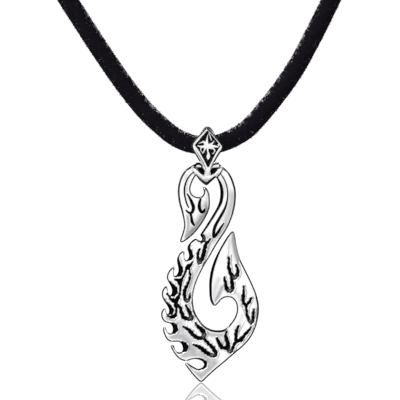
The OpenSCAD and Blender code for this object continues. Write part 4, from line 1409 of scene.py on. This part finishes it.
# %% Black suede
suede, tree, shader = new_material("Black suede")
place = add(tree, "TexCoord").outputs["Object"]
tuft = noise(tree, place, 2500.0, 4.0)
wire(tree, shader, {
    "Base Color": blend(tree, tuft, (0.002, 0.0015, 0.003, 1), (0.007, 0.005, 0.009, 1)),
    "Roughness": 0.9,
    "Specular IOR Level": 0.06,
    "Normal": bumpy(tree, tuft, 0.8, 0.0002),
})
cord.data.materials.append(suede)
print("nodes in", suede.name, len(tree.nodes))

# %% Nap of the suede
hairs, tree, shader = new_material("Suede nap")
# pale hairs: worn nap and a painted highlight
dyed, pale_wear_and_highlight = (0.004, 0.003, 0.006, 1), (0.85, 0.82, 0.92, 1)
wire(tree, shader, {
    "Base Color": blend(tree, stored(tree, "pale"), dyed, pale_wear_and_highlight),
    "Roughness": 0.9,
    "Specular IOR Level": 0.15,
})
nap.data.materials.append(hairs)
print("nodes in", hairs.name, len(tree.nodes))

# %% [markdown]
# ## The light tent
# A polished jewel is photographed in a white tent, because it mirrors all that is round it.
# The world is that tent. It is white, darker to the right and below, and has a black gap a
# little behind the object: each edge that slants away mirrors the gap, and so gets the dark
# outline that makes the shapes readable on white. The camera itself sees plain white.

# %% The tent's world, and a helper that darkens a part of it
world = bpy.data.worlds.new("Light tent")
scene.world = world
world.use_nodes = True
tree = world.node_tree
way = add(tree, "SeparateXYZ", {"Vector": add(tree, "TexCoord").outputs["Generated"]}).outputs


def shade(value, low, high, amount):
    """Part of the tent that is darker by amount where value is past high."""
    node = add(
        tree,
        "MapRange",
        {"Value": value, "From Min": low, "From Max": high, "To Min": 0.0, "To Max": amount},
        interpolation_type="SMOOTHSTEP",
    )
    return node.outputs["Result"]


# %% Light tent
TENT_WHITE = 1.07
TENT_BLACK = 0.02
GAP_DEPTH = 1.2  # more than the white, so the gap is black
BACKDROP_WHITE = 1.05  # what the camera sees

down = calc(tree, "MULTIPLY", way["Z"], -1.0)
darker = [
    shade(way["X"], 0.08, 0.6, 0.7),  # to the right
    shade(down, 0.1, 0.6, 0.35),  # and below,
    shade(down, 0.8, 0.97, -0.28),  # but less so straight below
    calc(tree, "MINIMUM", shade(way["Y"], 0.02, 0.15, GAP_DEPTH),
         shade(way["Y"], 0.49, 0.39, GAP_DEPTH)),  # gap behind the object
]
tent = TENT_WHITE
for part in darker:
    tent = calc(tree, "SUBTRACT", tent, part)
tent = calc(tree, "MAXIMUM", tent, TENT_BLACK)
seen = add(tree, "LightPath").outputs["Is Camera Ray"]
wire(tree, tree.nodes["Background"], {
    "Color": (1, 1, 1, 1),
    "Strength": blend(tree, seen, tent, BACKDROP_WHITE),
})
scene.view_settings.view_transform = "Standard"
print("nodes in the tent", len(tree.nodes))

# %% [markdown]
# ## The floor
# The pendant hangs just above a glossy white board. A board lit like the rest would show a
# grey horizon, so it glows by itself in the tent's own white. It mirrors only at a very flat
# angle, which gives the faint mirror image of the tip. It isn't part of the object.

# %% Floor
FLOOR_Z = LOW_Z - 47.3
FLOOR_RADIUS = 6.0  # metres

bm = bmesh.new()
bmesh.ops.create_circle(bm, cap_ends=True, segments=96, radius=FLOOR_RADIUS)
floor = shown("floor", bm)
floor.location = (0, 0, FLOOR_Z * MM)
floor.visible_glossy = False
print("floor at", FLOOR_Z, "mm")

# %% White acrylic board, which mirrors at flat angles alone
board, tree, shader = new_material("White acrylic board")
wire(tree, shader, {
    "Base Color": (0.02, 0.02, 0.02, 1),
    "Specular IOR Level": 0.0,
    "Emission Color": (1, 1, 1, 1),
    "Emission Strength": 1.03,
})
mirror = add(tree, "BsdfGlossy", {"Color": (1, 1, 1, 1), "Roughness": 0.02})
facing = add(tree, "LayerWeight", {"Blend": 0.5}).outputs["Facing"]
share = calc(tree, "MULTIPLY", calc(tree, "POWER", facing, 8.0), 0.75)
both = add(tree, "MixShader", {0: share, 1: shader.outputs[0], 2: mirror.outputs[0]})
wire(tree, tree.nodes["Material Output"], {"Surface": both.outputs[0]})
floor.data.materials.append(board)
print("nodes in", board.name, len(tree.nodes))

# %% [markdown]
# ## A soft light
# The tent is enough for polished metal, but matt leather looks flat in it. One lamp from the
# upper left, as wide as a large softbox so that its shadows stay soft, brings out the nap.

# %% Soft light from the upper left
lamp_data = bpy.data.lights.new("Big softbox", "SUN")
lamp_data.energy = 2.2
lamp_data.angle = math.radians(50)
lamp = linked("Big softbox", lamp_data)
shines = Vector((0.45, 0.5, -1.0))  # to the right, to the back and down
lamp.rotation_euler = shines.to_track_quat("-Z", "Y").to_euler()
print("lamp", lamp_data.energy)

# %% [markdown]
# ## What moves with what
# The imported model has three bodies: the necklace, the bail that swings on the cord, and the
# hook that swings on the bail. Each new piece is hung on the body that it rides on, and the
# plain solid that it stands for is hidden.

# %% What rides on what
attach(hook, "hook")
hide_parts("hook")
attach(bail, "bail")
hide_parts("bail")
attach(clasp, "necklace")
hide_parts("clasp")
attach(cord, "necklace")
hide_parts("cord")
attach(nap, "necklace")
